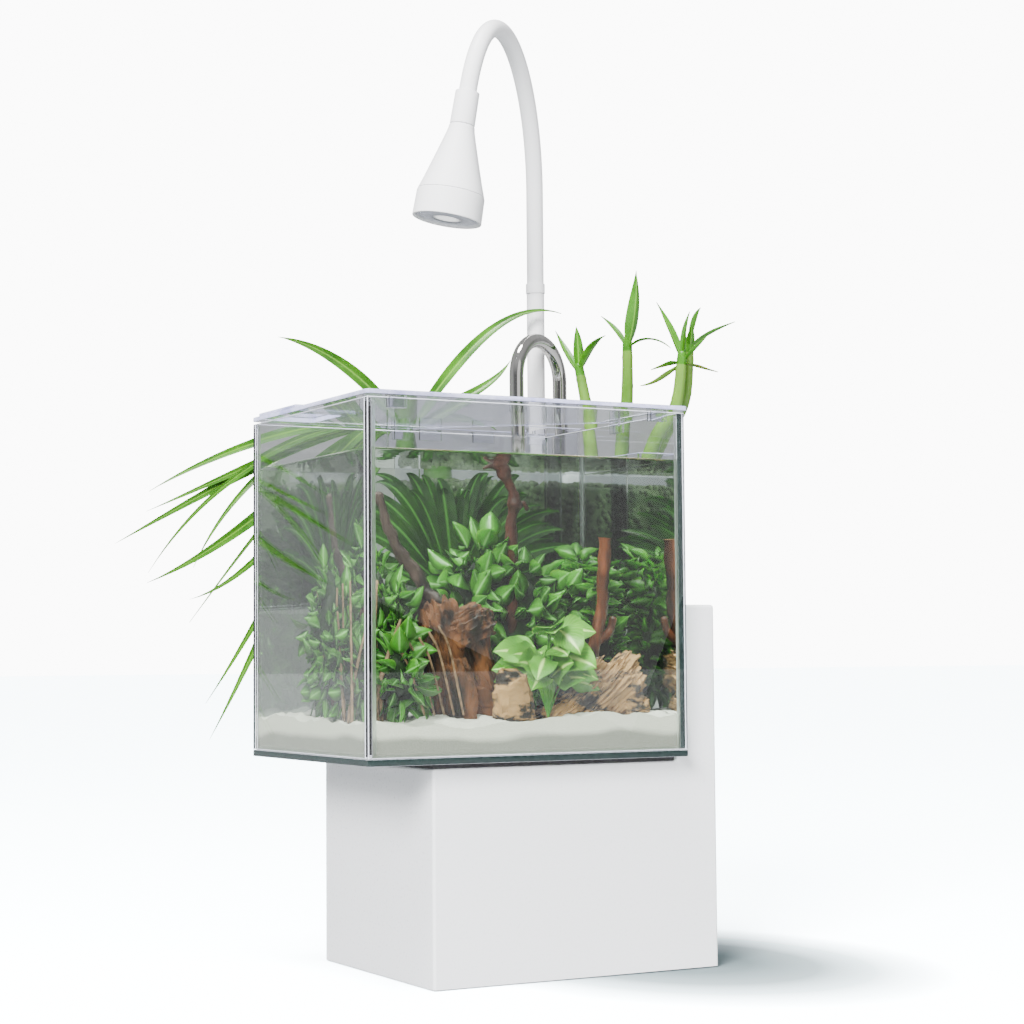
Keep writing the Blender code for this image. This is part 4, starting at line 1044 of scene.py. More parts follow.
class AQUARIUM_OT_tank(bpy.types.Operator):
    """Five glass panes with painted highlights on their chamfers and dark cut edges, and their
    clear seal
    """
    bl_idname = "aquarium.tank"
    bl_label = "Tank"

    def execute(self, context):
        dark_edged = {"tank_right", "tank_bottom"}
        for node in ("tank_front", "tank_back", "tank_left", "tank_right", "tank_bottom"):
            low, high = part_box(node)
            thin = min(range(3), key=lambda i: (high - low)[i])
            shape = bmesh.new()
            add_block(shape, low, high, 0.0006, 2)
            shape.normal_update()
            for face in shape.faces:
                if abs(face.normal[thin]) < 0.5 and node in dark_edged:
                    face.material_index = 1
                # Chamfer faces take the painted highlight.
                elif max(abs(c) for c in face.normal) < 0.95:
                    face.material_index = 2
            piece(f"{node}_pane", shape, [look("glass"), look("cut_edge"), look("chamfer")],
                  "base", [node], sharp=60, flat=True)
        dress(look("silicone"), "silicone_seal")
        return {"FINISHED"}


class AQUARIUM_OT_water(bpy.types.Operator):
    """The body of water, with the rim where it climbs the glass"""
    bl_idname = "aquarium.water"
    bl_label = "Water"

    def execute(self, context):
        chosen = settings("tank_settings")
        gap = WATER_TO_GLASS
        x0, x1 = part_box("tank_left")[1].x + gap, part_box("tank_right")[0].x - gap
        y0, y1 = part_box("tank_front")[1].y + gap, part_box("tank_back")[0].y - gap
        z0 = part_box("tank_bottom")[1].z + gap

        def stops(a, b):
            """Grid lines from a to b, close together where the water climbs the glass."""
            edge = [0, 0.0004, 0.0009, 0.0016, 0.0026, 0.004]
            inner = [0.004 + (b - a - 0.008) * k / 40 for k in range(1, 40)]
            return [a + e for e in edge] + [a + i for i in inner] + [b - e for e in edge[::-1]]
        xs, ys = stops(x0, x1), stops(y0, y1)
        shape = bmesh.new()
        grid = []
        for y in ys:
            row = []
            for x in xs:
                rim = min(x - x0, x1 - x, y - y0, y1 - y)
                climb = chosen.meniscus * math.exp(-rim / 0.0011)
                ripple = 0.00012 * noise.noise(Vector((x * 55, y * 55, 3.0)))
                row.append(shape.verts.new((x, y, chosen.water_level + climb + ripple)))
            grid.append(row)
        close_below(shape, grid, z0)
        piece("water_body", shape, look("water"), "base", sharp=30)
        return {"FINISHED"}


class AQUARIUM_OT_sand(bpy.types.Operator):
    """The wavy bed of white sand"""
    bl_idname = "aquarium.sand"
    bl_label = "Sand"

    def execute(self, context):
        low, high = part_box("sand_bed")
        edge = SAND_INTO_GLASS
        low = Vector((low.x - edge, low.y - edge, low.z))
        high = Vector((high.x + edge, high.y + edge, high.z))
        rise = settings("tank_settings").sand_rise
        shape = bmesh.new()
        across, deep = 110, 90
        grid = []
        for j in range(deep + 1):
            row = []
            for i in range(across + 1):
                x = low.x + (high.x - low.x) * i / across
                y = low.y + (high.y - low.y) * j / deep
                hill = noise.noise(Vector((x * 26, y * 26, 1.5)))
                hill += 0.40 * noise.noise(Vector((x * 75, y * 75, 4.0)))
                hill += 0.10 * noise.noise(Vector((x * 420, y * 420, 9.0)))
                row.append(shape.verts.new((x, y, high.z + rise * hill)))
            grid.append(row)
        close_below(shape, grid, low.z)
        piece("sand", shape, look("sand"), "base", ["sand_bed"], sharp=55)
        return {"FINISHED"}


# ---------------------------------------------------------------- lid

def clip_shape(shape, node, along):
    """A clear U over a pane's rim."""
    low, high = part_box(node)
    across = 1 - along
    wall = 0.0012
    a0, a1 = low[across], high[across]
    outline = [(a0, low.z), (a0 + wall, low.z), (a0 + wall, high.z - wall),
               (a1 - wall, high.z - wall), (a1 - wall, low.z), (a1, low.z), (a1, high.z),
               (a0, high.z)]
    add_outline(shape, soften(outline, 0.0007, 2), low[along], high[along], axis=along)


def light_edges(shape, top):
    """The cut edges of acrylic gather light, so they take the second finish, which paints that glow
    into their colour.
    """
    bmesh.ops.recalc_face_normals(shape, faces=shape.faces)
    for face in shape.faces:
        if abs(face.normal.z) < 0.9 and face.calc_center_median().z < top + 1e-4:
            face.material_index = 1


class AQUARIUM_OT_lid(bpy.types.Operator):
    """Clear lid with its cut corner, feeding flap, hinge and four clips"""
    bl_idname = "aquarium.lid"
    bl_label = "Lid"

    def execute(self, context):
        rounding = settings("lid_settings").edge_radius
        low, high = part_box("lid_plate")
        flap_low, flap_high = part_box("feeding_flap")
        plate_top = flap_low.z - 0.0003
        cut_x = high.x - 0.140
        cut_y = high.y - 0.118
        knuckle_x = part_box("flap_pin")[0].x + 0.001
        pin_z = (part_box("flap_pin")[0].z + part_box("flap_pin")[1].z) / 2
        margin = 0.008
        hx0, hx1 = low.x + 0.0025 + margin, knuckle_x - 0.0034 - margin
        hy0, hy1 = flap_low.y + margin, flap_high.y - margin
        shape = bmesh.new()
        outer = [(low.x, low.y), (high.x, low.y), (high.x, cut_y), (cut_x, high.y),
                 (low.x, high.y)]
        faces = add_outline(shape, soften(outer, 0.004, 4), low.z, plate_top)
        round_off(shape, faces[:2], rounding, 2)
        lid = loose_object("lid_blank", shape)
        shape = bmesh.new()
        add_outline(shape, rounded_rect(hx0, hy0, hx1, hy1, 0.003, 4), low.z - 0.01,
                    plate_top + 0.01)
        cutter = loose_object("lid_hole", shape)
        change = lid.modifiers.new("hole", "BOOLEAN")
        change.object = cutter
        plain_mesh(lid)
        bpy.data.objects.remove(cutter)
        shape = bmesh.new()
        shape.from_mesh(lid.data)
        bpy.data.objects.remove(lid)
        barrel = [(0.0013, 0), (0.0024, 0), (0.0024, 0.012), (0.0013, 0.012)]
        for y in (flap_low.y, flap_high.y - 0.012):
            add_turned(shape, soften(barrel, 0.0003, 2), (knuckle_x, y, pin_z), (0, 1, 0), 24,
                       True)
            add_block(shape, (knuckle_x + 0.0014, y + 0.001, plate_top - 0.001),
                      (knuckle_x + 0.0040, y + 0.011, pin_z), 0.0003, 1)
        light_edges(shape, plate_top)
        piece("clear_lid", shape, [look("acrylic"), look("acrylic_edge")], "lid", ["lid_plate"],
              sharp=60, flat=True)

        shape = bmesh.new()
        flap_x1 = knuckle_x - 0.0034
        add_block(shape, (flap_low.x, flap_low.y, flap_low.z),
                  (flap_x1, flap_high.y, flap_low.z + 0.0025), 0.0007, 3)
        middle = [(0.0013, 0), (0.0024, 0), (0.0024, flap_high.y - flap_low.y - 0.0246),
                  (0.0013, flap_high.y - flap_low.y - 0.0246)]
        add_turned(shape, soften(middle, 0.0003, 2), (knuckle_x, flap_low.y + 0.0123, pin_z),
                   (0, 1, 0), 24, True)
        add_block(shape, (flap_x1 - 0.001, flap_low.y + 0.0145, flap_low.z + 0.0003),
                  (knuckle_x - 0.0016, flap_high.y - 0.0145, flap_low.z + 0.0020), 0.0003, 1)
        grip_y = (flap_low.y + flap_high.y) / 2
        for k in range(3):
            x = flap_low.x + 0.004 + 0.0022 * k
            add_block(shape, (x, grip_y - 0.012, flap_low.z + 0.0022),
                      (x + 0.0010, grip_y + 0.012, flap_low.z + 0.0032), 0.0003, 1)
        light_edges(shape, flap_low.z + 0.0025)
        piece("clear_flap", shape, [look("acrylic"), look("acrylic_edge")], "flap",
              ["feeding_flap"], sharp=60, flat=True)
        dress(look("steel"), "flap_pin")

        for node, along in (("lid_clip_front_left", 0), ("lid_clip_front_right", 0),
                            ("lid_clip_back", 0), ("lid_clip_side", 1)):
            shape = bmesh.new()
            clip_shape(shape, node, along)
            piece(f"{node}_moulding", shape, look("acrylic"), "base", [node],
                  sharp=60, flat=True)
        return {"FINISHED"}


# ---------------------------------------------------------------- planter trough

class AQUARIUM_OT_trough(bpy.types.Operator):
    """Clear planter trough in two wings, its chute, lamp socket and clay pebbles"""
    bl_idname = "aquarium.trough"
    bl_label = "Planter Trough"

    def execute(self, context):
        low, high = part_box("planter_trough")
        media_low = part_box("planter_media")[0]
        side_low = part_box("side_media")[0]
        wall = 0.002
        rear_y0 = media_low.y - wall - 0.0003
        side_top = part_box("tank_front")[1].z - 0.025
        shape = bmesh.new()
        wings = ((media_low.x - 0.0023, rear_y0, high.x, high.y, high.z),
                 (side_low.x - 0.0023, low.y, high.x, rear_y0 - 0.0004, side_top))
        for x0, y0, x1, y1, top in wings:
            rings = []
            for inset, z in ((0.0006, low.z), (0, low.z + 0.0006), (0, top - 0.0006),
                             (0.0005, top), (wall - 0.0005, top), (wall, top - 0.0006),
                             (wall, low.z + wall + 0.003), (wall + 0.003, low.z + wall)):
                outline = rounded_rect(x0 + inset, y0 + inset, x1 - inset, y1 - inset,
                                       max(0.0042 - inset, 0.0012))
                rings.append([shape.verts.new((x, y, z)) for x, y in outline])
            stitch(shape, rings)
            shape.faces.new(rings[0])
            shape.faces.new(rings[-1])
            # The rims' top faces take the painted edge glow, as bright lines.
            for face in shape.faces:
                if face.calc_center_median().z > top - 0.0005:
                    face.material_index = 1
        inner_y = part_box("tank_back")[0].y - 0.0003
        hook_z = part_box("tank_back")[1].z + 0.0003
        for x in (-0.030, 0.020):
            outline = [(rear_y0 + 0.001, hook_z), (rear_y0 + 0.001, hook_z + 0.0012),
                       (inner_y - 0.0017, hook_z + 0.0012), (inner_y - 0.0017, hook_z - 0.008),
                       (inner_y, hook_z - 0.008), (inner_y, hook_z)]
            add_outline(shape, soften(outline, 0.0005, 2), x - 0.010, x + 0.010, axis=0)
        piece("planter_shell", shape, [look("acrylic"), look("acrylic_edge")], "base",
              ["planter_trough"], sharp=60, flat=True)

        low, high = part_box("overflow_chute")
        floor_z = hook_z
        section = [(low.x, high.z), (low.x, floor_z), (high.x, floor_z), (high.x, high.z),
                   (high.x - 0.0012, high.z), (high.x - 0.0012, floor_z + 0.0012),
                   (low.x + 0.0012, floor_z + 0.0012), (low.x + 0.0012, high.z)]
        shape = bmesh.new()
        add_outline(shape, soften(section, 0.0005, 2), low.y, high.y, axis=1)
        add_block(shape, (low.x, low.y, low.z), (high.x, low.y + 0.0012, floor_z + 0.0006),
                  0.0004, 1)
        piece("return_chute", shape, look("acrylic"), "base", ["overflow_chute"],
              sharp=60, flat=True)

        low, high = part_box("lamp_socket")
        middle = (low + high) / 2
        outer = (high.x - low.x) / 2
        profile = [(0, low.z), (outer, low.z), (outer, high.z - 0.010), (outer + 0.0003, high.z),
                   (outer - 0.0028, high.z), (outer - 0.0028, low.z + 0.004), (0, low.z + 0.004)]
        shape = bmesh.new()
        add_turned(shape, soften(profile, 0.0008, 3, closed=False), (middle.x, middle.y, 0))
        piece("stem_socket", shape, look("lamp"), "base", ["lamp_socket"])

        pebble = bmesh.new()
        bmesh.ops.create_icosphere(pebble, subdivisions=1, radius=0.0042)
        for vertex in pebble.verts:
            vertex.co *= 1 + 0.22 * noise.noise(vertex.co * 500)
        for name, node, seed in (("rear_pebbles", "planter_media", 3),
                                 ("side_pebbles", "side_media", 4)):
            low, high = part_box(node)
            ground = bmesh.new()
            add_block(ground, low + Vector((0.004, 0.004, 0.004)),
                      high - Vector((0.004, 0.004, 0.0035)), 0)
            scatter(name, ground, pebble.copy(), look("pebbles"), 42000, (0.65, 1.05),
                    (0.0, 3.0), seed, [node])
            core = bmesh.new()
            add_block(core, low + Vector((0.0022, 0.0022, 0.001)),
                      high - Vector((0.0022, 0.0022, 0.003)), 0.003, 3)
            bmesh.ops.triangulate(core, faces=core.faces)
            bmesh.ops.subdivide_edges(core, edges=core.edges, cuts=12, use_grid_fill=True)
            for vertex in core.verts:
                pit = noise.voronoi(vertex.co * 160)[0][0]
                vertex.co += (vertex.co - (low + high) / 2).normalized() * -0.0016 * pit
            piece(f"{name}_bed", core, look("pebbles"), "base", (), sharp=80)
        pebble.free()
        return {"FINISHED"}


# ---------------------------------------------------------------- pipe and pump

class AQUARIUM_OT_pipe(bpy.types.Operator):
    """Polished steel hairpin pipe and the clear hose under it"""
    bl_idname = "aquarium.pipe"
    bl_label = "Return Pipe"

    def execute(self, context):
        low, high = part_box("spout_pipe")
        radius = 0.0061
        front = Vector((low.x + radius, low.y + radius, 0))
        back = Vector((high.x - radius, high.y - radius, 0))
        span = (back - front).length
        heading = (back - front).normalized()
        bend = span / 2
        centre_z = high.z - radius - bend
        front_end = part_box("riser_hose")[1].z - 0.015
        back_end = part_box("planter_media")[1].z + 0.004
        path = [front + UP * z for z in (front_end, front_end + 0.0006, front_end + 0.03)]
        turns = 56
        for k in range(turns + 1):
            angle = math.pi * k / turns
            path.append(front + heading * bend * (1 - math.cos(angle))
                        + UP * (centre_z + bend * math.sin(angle)))
        path += [back + UP * z for z in (back_end + 0.03, back_end + 0.0006, back_end)]
        shape = bmesh.new()
        add_pipe(shape, path, radius, radius - 0.0011, 48)
        piece("steel_hairpin", shape, look("steel"), "base", ["spout_pipe"])
        low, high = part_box("riser_hose")
        middle = (low + high) / 2
        outer = (high.x - low.x) / 2
        path = [Vector((middle.x, middle.y, low.z + (high.z - low.z) * k / 40))
                for k in range(41)]
        shape = bmesh.new()
        add_pipe(shape, path, outer, radius + 0.0004, 36)
        piece("clear_riser", shape, look("hose"), "base", ["riser_hose"])
        return {"FINISHED"}


class AQUARIUM_OT_pump(bpy.types.Operator):
    """Submerged pump with its slotted cover, impeller and flow dial"""
    bl_idname = "aquarium.pump"
    bl_label = "Pump"

    def execute(self, context):
        low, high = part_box("pump_body")
        case_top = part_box("pump_cover")[1].z
        axis = PIVOT["impeller_spin"]
        shape = bmesh.new()
        rim = 0.0110
        outline = rounded_rect(low.x, low.z, high.x, case_top, 0.004, 4)
        wall_rings = []
        for y in (low.y, low.y + 0.0006, high.y - 0.0006, high.y):
            inset = 0.0005 if y in (low.y, high.y) else 0
            wall_rings.append([shape.verts.new((x + (inset if x < axis.x else -inset), y,
                                                z + (inset if z < axis.z else -inset)))
                               for x, z in outline])
        stitch(shape, wall_rings)
        shape.faces.new(wall_rings[-1])
        centre = Vector((axis.x, 0, axis.z))
        bore = []
        for y in (low.y, low.y + 0.014):
            ring = []
            for corner in wall_rings[0]:
                out = Vector((corner.co.x, 0, corner.co.z)) - centre
                spot = centre + out.normalized() * rim
                ring.append(shape.verts.new((spot.x, y, spot.z)))
            bore.append(ring)
        stitch(shape, [wall_rings[0], *bore])
        shape.faces.new(bore[1])
        nozzle_x = (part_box("riser_hose")[0].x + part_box("riser_hose")[1].x) / 2
        nozzle_y = (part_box("riser_hose")[0].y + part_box("riser_hose")[1].y) / 2
        barbs = [(0, case_top - 0.003), (0.0075, case_top - 0.003), (0.0075, case_top + 0.0004)]
        for k in range(3):
            z = case_top + 0.0012 + 0.0034 * k
            barbs += [(0.0060, z), (0.0055, z + 0.0028)]
        barbs += [(0.0040, high.z), (0, high.z)]
        add_turned(shape, barbs, (nozzle_x, nozzle_y, 0), sides=32)
        for k in range(5):
            z = low.z + 0.006 + 0.0058 * k
            add_block(shape, (high.x - 0.0004, low.y + 0.006, z),
                      (high.x + 0.0004, high.y - 0.004, z + 0.0022), 0.0002, 1)
        piece("pump_case", shape, look("black_plastic"), "base", ["pump_body"])

        low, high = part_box("pump_cover")
        shape = bmesh.new()
        bars = 6
        pitch = 0.0056
        inner_x0 = axis.x - pitch * (bars - 1) / 2
        add_block(shape, low, (inner_x0, high.y, high.z), 0.0006, 2)
        add_block(shape, (axis.x + pitch * (bars - 1) / 2, low.y, low.z), high, 0.0006, 2)
        for z0, z1 in ((low.z, low.z + 0.007), (high.z - 0.007, high.z)):
            add_block(shape, (inner_x0 - 0.001, low.y, z0), (high.x - 0.002, high.y, z1), 0.0006,
                      2)
        for k in range(1, bars - 1):
            x = inner_x0 + pitch * k
            add_block(shape, (x - 0.0017, low.y, low.z + 0.006),
                      (x + 0.0017, high.y, high.z - 0.006), 0.0006, 2)
        piece("pump_grille", shape, look("black_plastic"), "base", ["pump_cover"])

        low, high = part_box("impeller")
        shape = bmesh.new()
        hub = [(0, low.y), (0.0030, low.y), (0.0030, high.y), (0, high.y)]
        add_turned(shape, soften(hub, 0.0007, 3, closed=False), (axis.x, 0, axis.z), (0, 1, 0), 32)
        reach = (high.x - low.x) / 2
        for k in range(4):
            start = math.pi / 2 * k
            path = []
            for step in range(7):
                share = step / 6
                angle = start + 0.35 * share
                distance = 0.0022 + (reach - 0.0026) * share
                path.append((axis.x + distance * math.cos(angle),
                             axis.z + distance * math.sin(angle)))
            outline = path + [(x - 0.0008 * math.sin(start), z + 0.0008 * math.cos(start))
                              for x, z in reversed(path)]
            add_outline(shape, outline, low.y + 0.001, high.y - 0.001, axis=1)
        piece("curved_impeller", shape, look("lamp"), "impeller_wheel", ["impeller"])

        low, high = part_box("flow_dial")
        dial = PIVOT["flow_dial_turn"]
        shape = bmesh.new()
        disc = [(0, 0), (0.0075, 0), (0.0075, 0.004), (0, 0.004)]
        add_turned(shape, soften(disc, 0.0008, 3, closed=False), (high.x, dial.y, dial.z),
                   (-1, 0, 0), 40)
        add_block(shape, (low.x, dial.y - 0.001, dial.z - 0.006),
                  (low.x + 0.004, dial.y + 0.001, dial.z + 0.006), 0.0005, 2)
        piece("flow_knob", shape, look("black_plastic"), "flow_dial_wheel", ["flow_dial"])
        return {"FINISHED"}


# ---------------------------------------------------------------- lamp

HEAD_AXIS = Vector((-0.1520, 0.0648, -0.9863)).normalized()
NECK_RADIUS = 0.0074
NECK_BEND_START = 0.6487
NECK_RISE = 0.1204
NECK_FALL = 0.1170
HEAD_TOP = PIVOT["head_joint"]
RIM_TOP = 0.0861
RIM_LENGTH = 0.0220
LENS_CENTRE = HEAD_TOP + HEAD_AXIS * (RIM_TOP + RIM_LENGTH - 0.003)


def neck_point(share):
    """Point on the neck's bend, which leaves the stem's line and enters the head's line."""
    foot = PIVOT["neck_joint_low"]
    start = Vector((foot.x, foot.y, NECK_BEND_START))
    return on_curve((start, start + UP * NECK_RISE, HEAD_TOP - HEAD_AXIS * NECK_FALL, HEAD_TOP),
                    share)


class AQUARIUM_OT_lamp(bpy.types.Operator):
    """White lamp: stem, neck in three lengths, and conical head with its lens"""
    bl_idname = "aquarium.lamp"
    bl_label = "Lamp"

    def execute(self, context):
        finish = look("lamp")
        foot = PIVOT["neck_joint_low"]
        low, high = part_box("lamp_stem")
        stem_radius = (high.x - low.x) / 2
        stem_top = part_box("stem_ferrule")[0].z - 0.0003
        shape = bmesh.new()
        core = NECK_RADIUS - 0.0004
        profile = [(0, low.z), (stem_radius, low.z), (stem_radius, stem_top), (core, stem_top),
                   (core, stem_top + 0.012), (0, stem_top + 0.012)]
        add_turned(shape, soften(profile, 0.0008, 3, closed=False), (foot.x, foot.y, 0))
        piece("stem_tube", shape, finish, "stem", ["lamp_stem"])
        low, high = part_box("stem_ferrule")
        outer = (high.x - low.x) / 2
        shape = bmesh.new()
        inner = NECK_RADIUS + 0.0003
        ring = [(inner, low.z), (outer, low.z), (outer, high.z), (inner, high.z)]
        add_turned(shape, soften(ring, 0.0008, 4), (foot.x, foot.y, 0), loop=True)
        piece("stem_collar_ring", shape, finish, "stem", ["stem_ferrule"])

        straight = [Vector((foot.x, foot.y, stem_top + 0.006 + k * 0.004)) for k in range(20)]
        straight = [p for p in straight if p.z < NECK_BEND_START - 0.003]
        bend = [neck_point(k / 70) for k in range(71)]
        path = straight + bend
        joint_middle = PIVOT["neck_joint_middle"]
        nearest = min(range(len(path)), key=lambda i: (path[i] - joint_middle).length)
        first_end = len(straight) + 8
        second_end = nearest + 20
        lengths = (("neck_lower_skin", 0, first_end, "stem", "neck_middle_part", foot,
                    ["neck_middle"]),
                   ("neck_middle_skin", first_end, second_end, "neck_middle_part",
                    "neck_upper_part", joint_middle, ["neck_upper"]),
                   ("neck_upper_skin", second_end, len(path) - 1, "neck_upper_part", "lamp_head",
                    HEAD_TOP, []))
        for name, first, last, body_a, body_b, pivot, replaced in lengths:
            shape = bmesh.new()
            stretch = path[first:last + 1]
            if body_b == "lamp_head":
                stretch = stretch + [HEAD_TOP + HEAD_AXIS * 0.004]
            add_bar(shape, stretch, NECK_RADIUS, 40, dome=False)
            skin = piece(name, shape, finish, None, replaced)
            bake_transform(skin)

        def on_head(name, outline, replaced, look_name="lamp", rounding=0.0007, loop=False):
            made = bmesh.new()
            add_turned(made, soften(outline, rounding, 4, closed=loop), HEAD_TOP, HEAD_AXIS, 72,
                       loop)
            return piece(name, made, look(look_name), "lamp_head", [replaced])

        collar_top = 0.0100
        on_head("neck_collar", [(0, 0.0058), (0.0079, 0.0058), (0.0079, 0.0), (collar_top, 0.0),
                                (collar_top + 0.0004, 0.0280), (0, 0.0280)], "head_collar")
        cone = [(0.0104, 0.0283), (0.0112, 0.0330), (0.0135, 0.0410), (0.0190, 0.0590),
                (0.0240, 0.0750), (0.0277, 0.0858)]
        wall = 0.0018
        inner = [(r - wall, z) for r, z in reversed(cone[1:])]
        on_head("head_cone", [(0, 0.0283), *cone, *inner, (0, 0.0345)], "head_shell",
                rounding=0.0012)
        mouth = 0.0287
        rim_end = RIM_TOP + RIM_LENGTH
        on_head("head_ring", [(0.0259, RIM_TOP), (0.0277, RIM_TOP), (0.0281, RIM_TOP + 0.0008),
                              (mouth, rim_end), (mouth - 0.0020, rim_end),
                              (mouth - 0.0026, rim_end - 0.002)], "head_rim", loop=True)
        on_head("light_board", [(0, 0.0801), (0.0205, 0.0801), (0.0205, 0.0815), (0, 0.0815)],
                "led_board", "board", 0.0003)
        bowl = [(0.0070 + 0.0176 * (k / 8) ** 0.6, 0.0832 + 0.0200 * k / 8) for k in range(9)]
        on_head("bright_bowl", [*bowl, *[(r + 0.0008, z) for r, z in reversed(bowl)]],
                "reflector", "mirror", 0.0002, True)
        lens_z = rim_end - 0.0042
        domed = [(0, lens_z - 0.0010), (0.0240, lens_z), (0.0252, lens_z + 0.0004),
                 (0.0252, lens_z + 0.0018), (0.0235, lens_z + 0.0024), (0.0120, lens_z + 0.0036),
                 (0.0108, lens_z + 0.0028), (0, lens_z + 0.0032)]
        on_head("clear_lens", domed, "lens", "lens", 0.0008, False)
        return {"FINISHED"}


# ---------------------------------------------------------------- stones and wood

class AQUARIUM_OT_hardscape(bpy.types.Operator):
    """Layered stones, driftwood and cut branches on the sand"""
    bl_idname = "aquarium.hardscape"
    bl_label = "Stones and Wood"

    def execute(self, context):
        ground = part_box("sand_bed")[1].z
        low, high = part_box("stone_left")
        middle = (low + high) / 2
        shape = bmesh.new()
        rocks = (((-0.014, 0.000, 0.036), (0.011, 0.014, 0.040), 2.0, (1, 0.2, 0.1), 8),
                 ((-0.004, 0.002, 0.052), (0.013, 0.013, 0.034), 5.0, (1, 0.1, 0.2), 16),
                 ((0.008, -0.002, 0.068), (0.019, 0.013, 0.013), 6.0, (0.3, 0, 1), 32),
                 ((0.016, 0.002, 0.044), (0.013, 0.012, 0.028), 8.0, (1, 0, 0.4), 12),
                 ((-0.002, -0.010, 0.018), (0.012, 0.010, 0.024), 7.0, (0.9, 0, 0.4), 4),
                 ((0.020, 0.004, 0.016), (0.012, 0.012, 0.022), 9.0, (0.4, 0, 1), 20))
        add_rocks(shape, rocks, Vector((middle.x, middle.y, ground)), 0.40)
        piece("tall_brown_stone", shape, look("brown_stone"), "base", ["stone_left"],
              sharp=30)
        low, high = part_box("stone_right")
        shape = bmesh.new()
        rocks = (((-0.002, -0.060, 0.010), (0.022, 0.013, 0.009), 3.0, (0.1, 0, 1), 34),
                 ((0.010, -0.064, 0.014), (0.024, 0.012, 0.008), 9.0, (0.1, 0, 1), 38),
                 ((0.014, -0.054, 0.026), (0.022, 0.011, 0.007), 10.0, (0, 0, 1), 36),
                 ((0.028, -0.062, 0.016), (0.026, 0.013, 0.009), 11.0, (0, 0, 1), 40),
                 ((0.038, -0.056, 0.026), (0.026, 0.012, 0.008), 13.0, (0.1, 0, 1), 42),
                 ((0.046, -0.062, 0.017), (0.020, 0.012, 0.010), 14.0, (0, 0, 1), 44),
                 ((0.052, -0.054, 0.032), (0.015, 0.010, 0.007), 16.0, (0, 0, 1), 36),
                 ((0.058, -0.068, 0.006), (0.010, 0.009, 0.010), 15.0, (0, 0, 1), 10))
        add_rocks(shape, rocks, UP * ground, 0.50)
        piece("tan_stone_pile", shape, look("tan_stone"), "base", ["stone_right"],
              sharp=30)
        shape = bmesh.new()
        add_rock(shape, (-0.052, -0.076, ground + 0.014), (0.015, 0.010, 0.018), 21.0, (0, 0.3, 1),
                 0.35, 4)
        piece("small_yellow_stone", shape, look("tan_stone"), "base", (), sharp=30)

        shape = bmesh.new()
        trunk = through([(-0.118, 0.020, ground), (-0.106, 0.010, ground + 0.050),
                         (-0.100, 0.000, ground + 0.098), (-0.124, -0.004, ground + 0.130),
                         (-0.140, -0.008, ground + 0.168)], 12)
        count = len(trunk)
        add_bar(shape, trunk, [0.0078 - 0.0045 * k / count for k in range(count)], 20, 0.45, 1.0)
        limb = through([(-0.100, 0.000, ground + 0.096), (-0.086, -0.014, ground + 0.086),
                        (-0.066, -0.022, ground + 0.070)], 10)
        add_bar(shape, limb, [0.0055 - 0.0025 * k / 20 for k in range(len(limb))], 16, 0.45, 4.0)
        piece("dark_driftwood", shape, look("dark_wood"), "base", ["driftwood_left"],
              sharp=60)

        shape = bmesh.new()
        twig = through([(-0.024, 0.002, ground + 0.060), (-0.022, 0.001, ground + 0.112),
                        (-0.024, 0.000, ground + 0.150), (-0.021, -0.002, ground + 0.168),
                        (-0.031, -0.004, ground + 0.190), (-0.037, -0.006, ground + 0.196)], 10)
        count = len(twig)
        add_bar(shape, twig, [0.0046 + 0.0008 * math.sin(k * 0.5) for k in range(count)], 18, 0.5,
                2.0)
        spur = through([(-0.021, -0.001, ground + 0.158), (-0.014, -0.003, ground + 0.166),
                        (-0.011, -0.004, ground + 0.162)], 5)
        add_bar(shape, spur, 0.0022, 10, 0.4, 6.0)
        spur = through([(-0.030, -0.004, ground + 0.189), (-0.042, -0.006, ground + 0.194),
                        (-0.050, -0.008, ground + 0.192)], 6)
        add_bar(shape, spur, [0.0028 - 0.0018 * k / 12 for k in range(len(spur))], 10, 0.4, 8.0)
        piece("red_root", shape, look("red_wood"), "base", (), sharp=60)

        shape = bmesh.new()
        rng = random.Random(5)
        for k in range(9):
            foot = Vector((-0.170 + 0.005 * k, -0.078 + 0.010 * k + rng.uniform(-0.006, 0.006),
                           ground))
            lean = Vector((rng.uniform(-0.02, 0.02), rng.uniform(-0.02, 0.02), 0))
            height = rng.uniform(0.045, 0.105)
            path = through([foot, foot + lean * 0.4 + UP * height * 0.5,
                            foot + lean + UP * height], 6)
            add_bar(shape, path, [0.0022 - 0.0010 * i / len(path) for i in range(len(path))], 8,
                    0.4, k)
        for k in range(5):
            start = Vector((-0.150 + 0.008 * k, -0.088, ground + 0.052 + 0.004 * k))
            path = through([start, start + Vector((0.010, 0.004, -0.016)),
                            start + Vector((0.024, 0.012, -0.048 - 0.004 * k))], 6)
            add_bar(shape, path, 0.0009, 6, 0.3, k + 20)
        keep_inside(piece("thin_roots", shape, look("root"), "base", (), sharp=60))

        low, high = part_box("upright_stick")
        shape = bmesh.new()
        stick = through([(0.036, -0.026, ground), (0.039, -0.026, ground + 0.050),
                         (0.047, -0.026, ground + 0.082), (0.048, -0.027, ground + 0.108),
                         (0.050, -0.028, ground + 0.139)], 10)
        add_bar(shape, stick, [0.0058, *[0.0052] * (len(stick) - 2), 0.0058], 20, 0.28, 3.0,
                dome=False)
        knot = through([(0.040, -0.024, ground + 0.056), (0.052, -0.028, ground + 0.064),
                        (0.056, -0.028, ground + 0.074)], 6)
        add_bar(shape, knot, 0.0034, 12, 0.35, 5.0)
        for face in shape.faces:
            if len(face.verts) > 8 and face.calc_center_median().z > ground + 0.12:
                face.material_index = 1
        piece("cut_branch", shape, [look("orange_wood"), look("end_grain")], "base",
              ["upright_stick"], sharp=60)
        return {"FINISHED"}


# ---------------------------------------------------------------- plants in the water

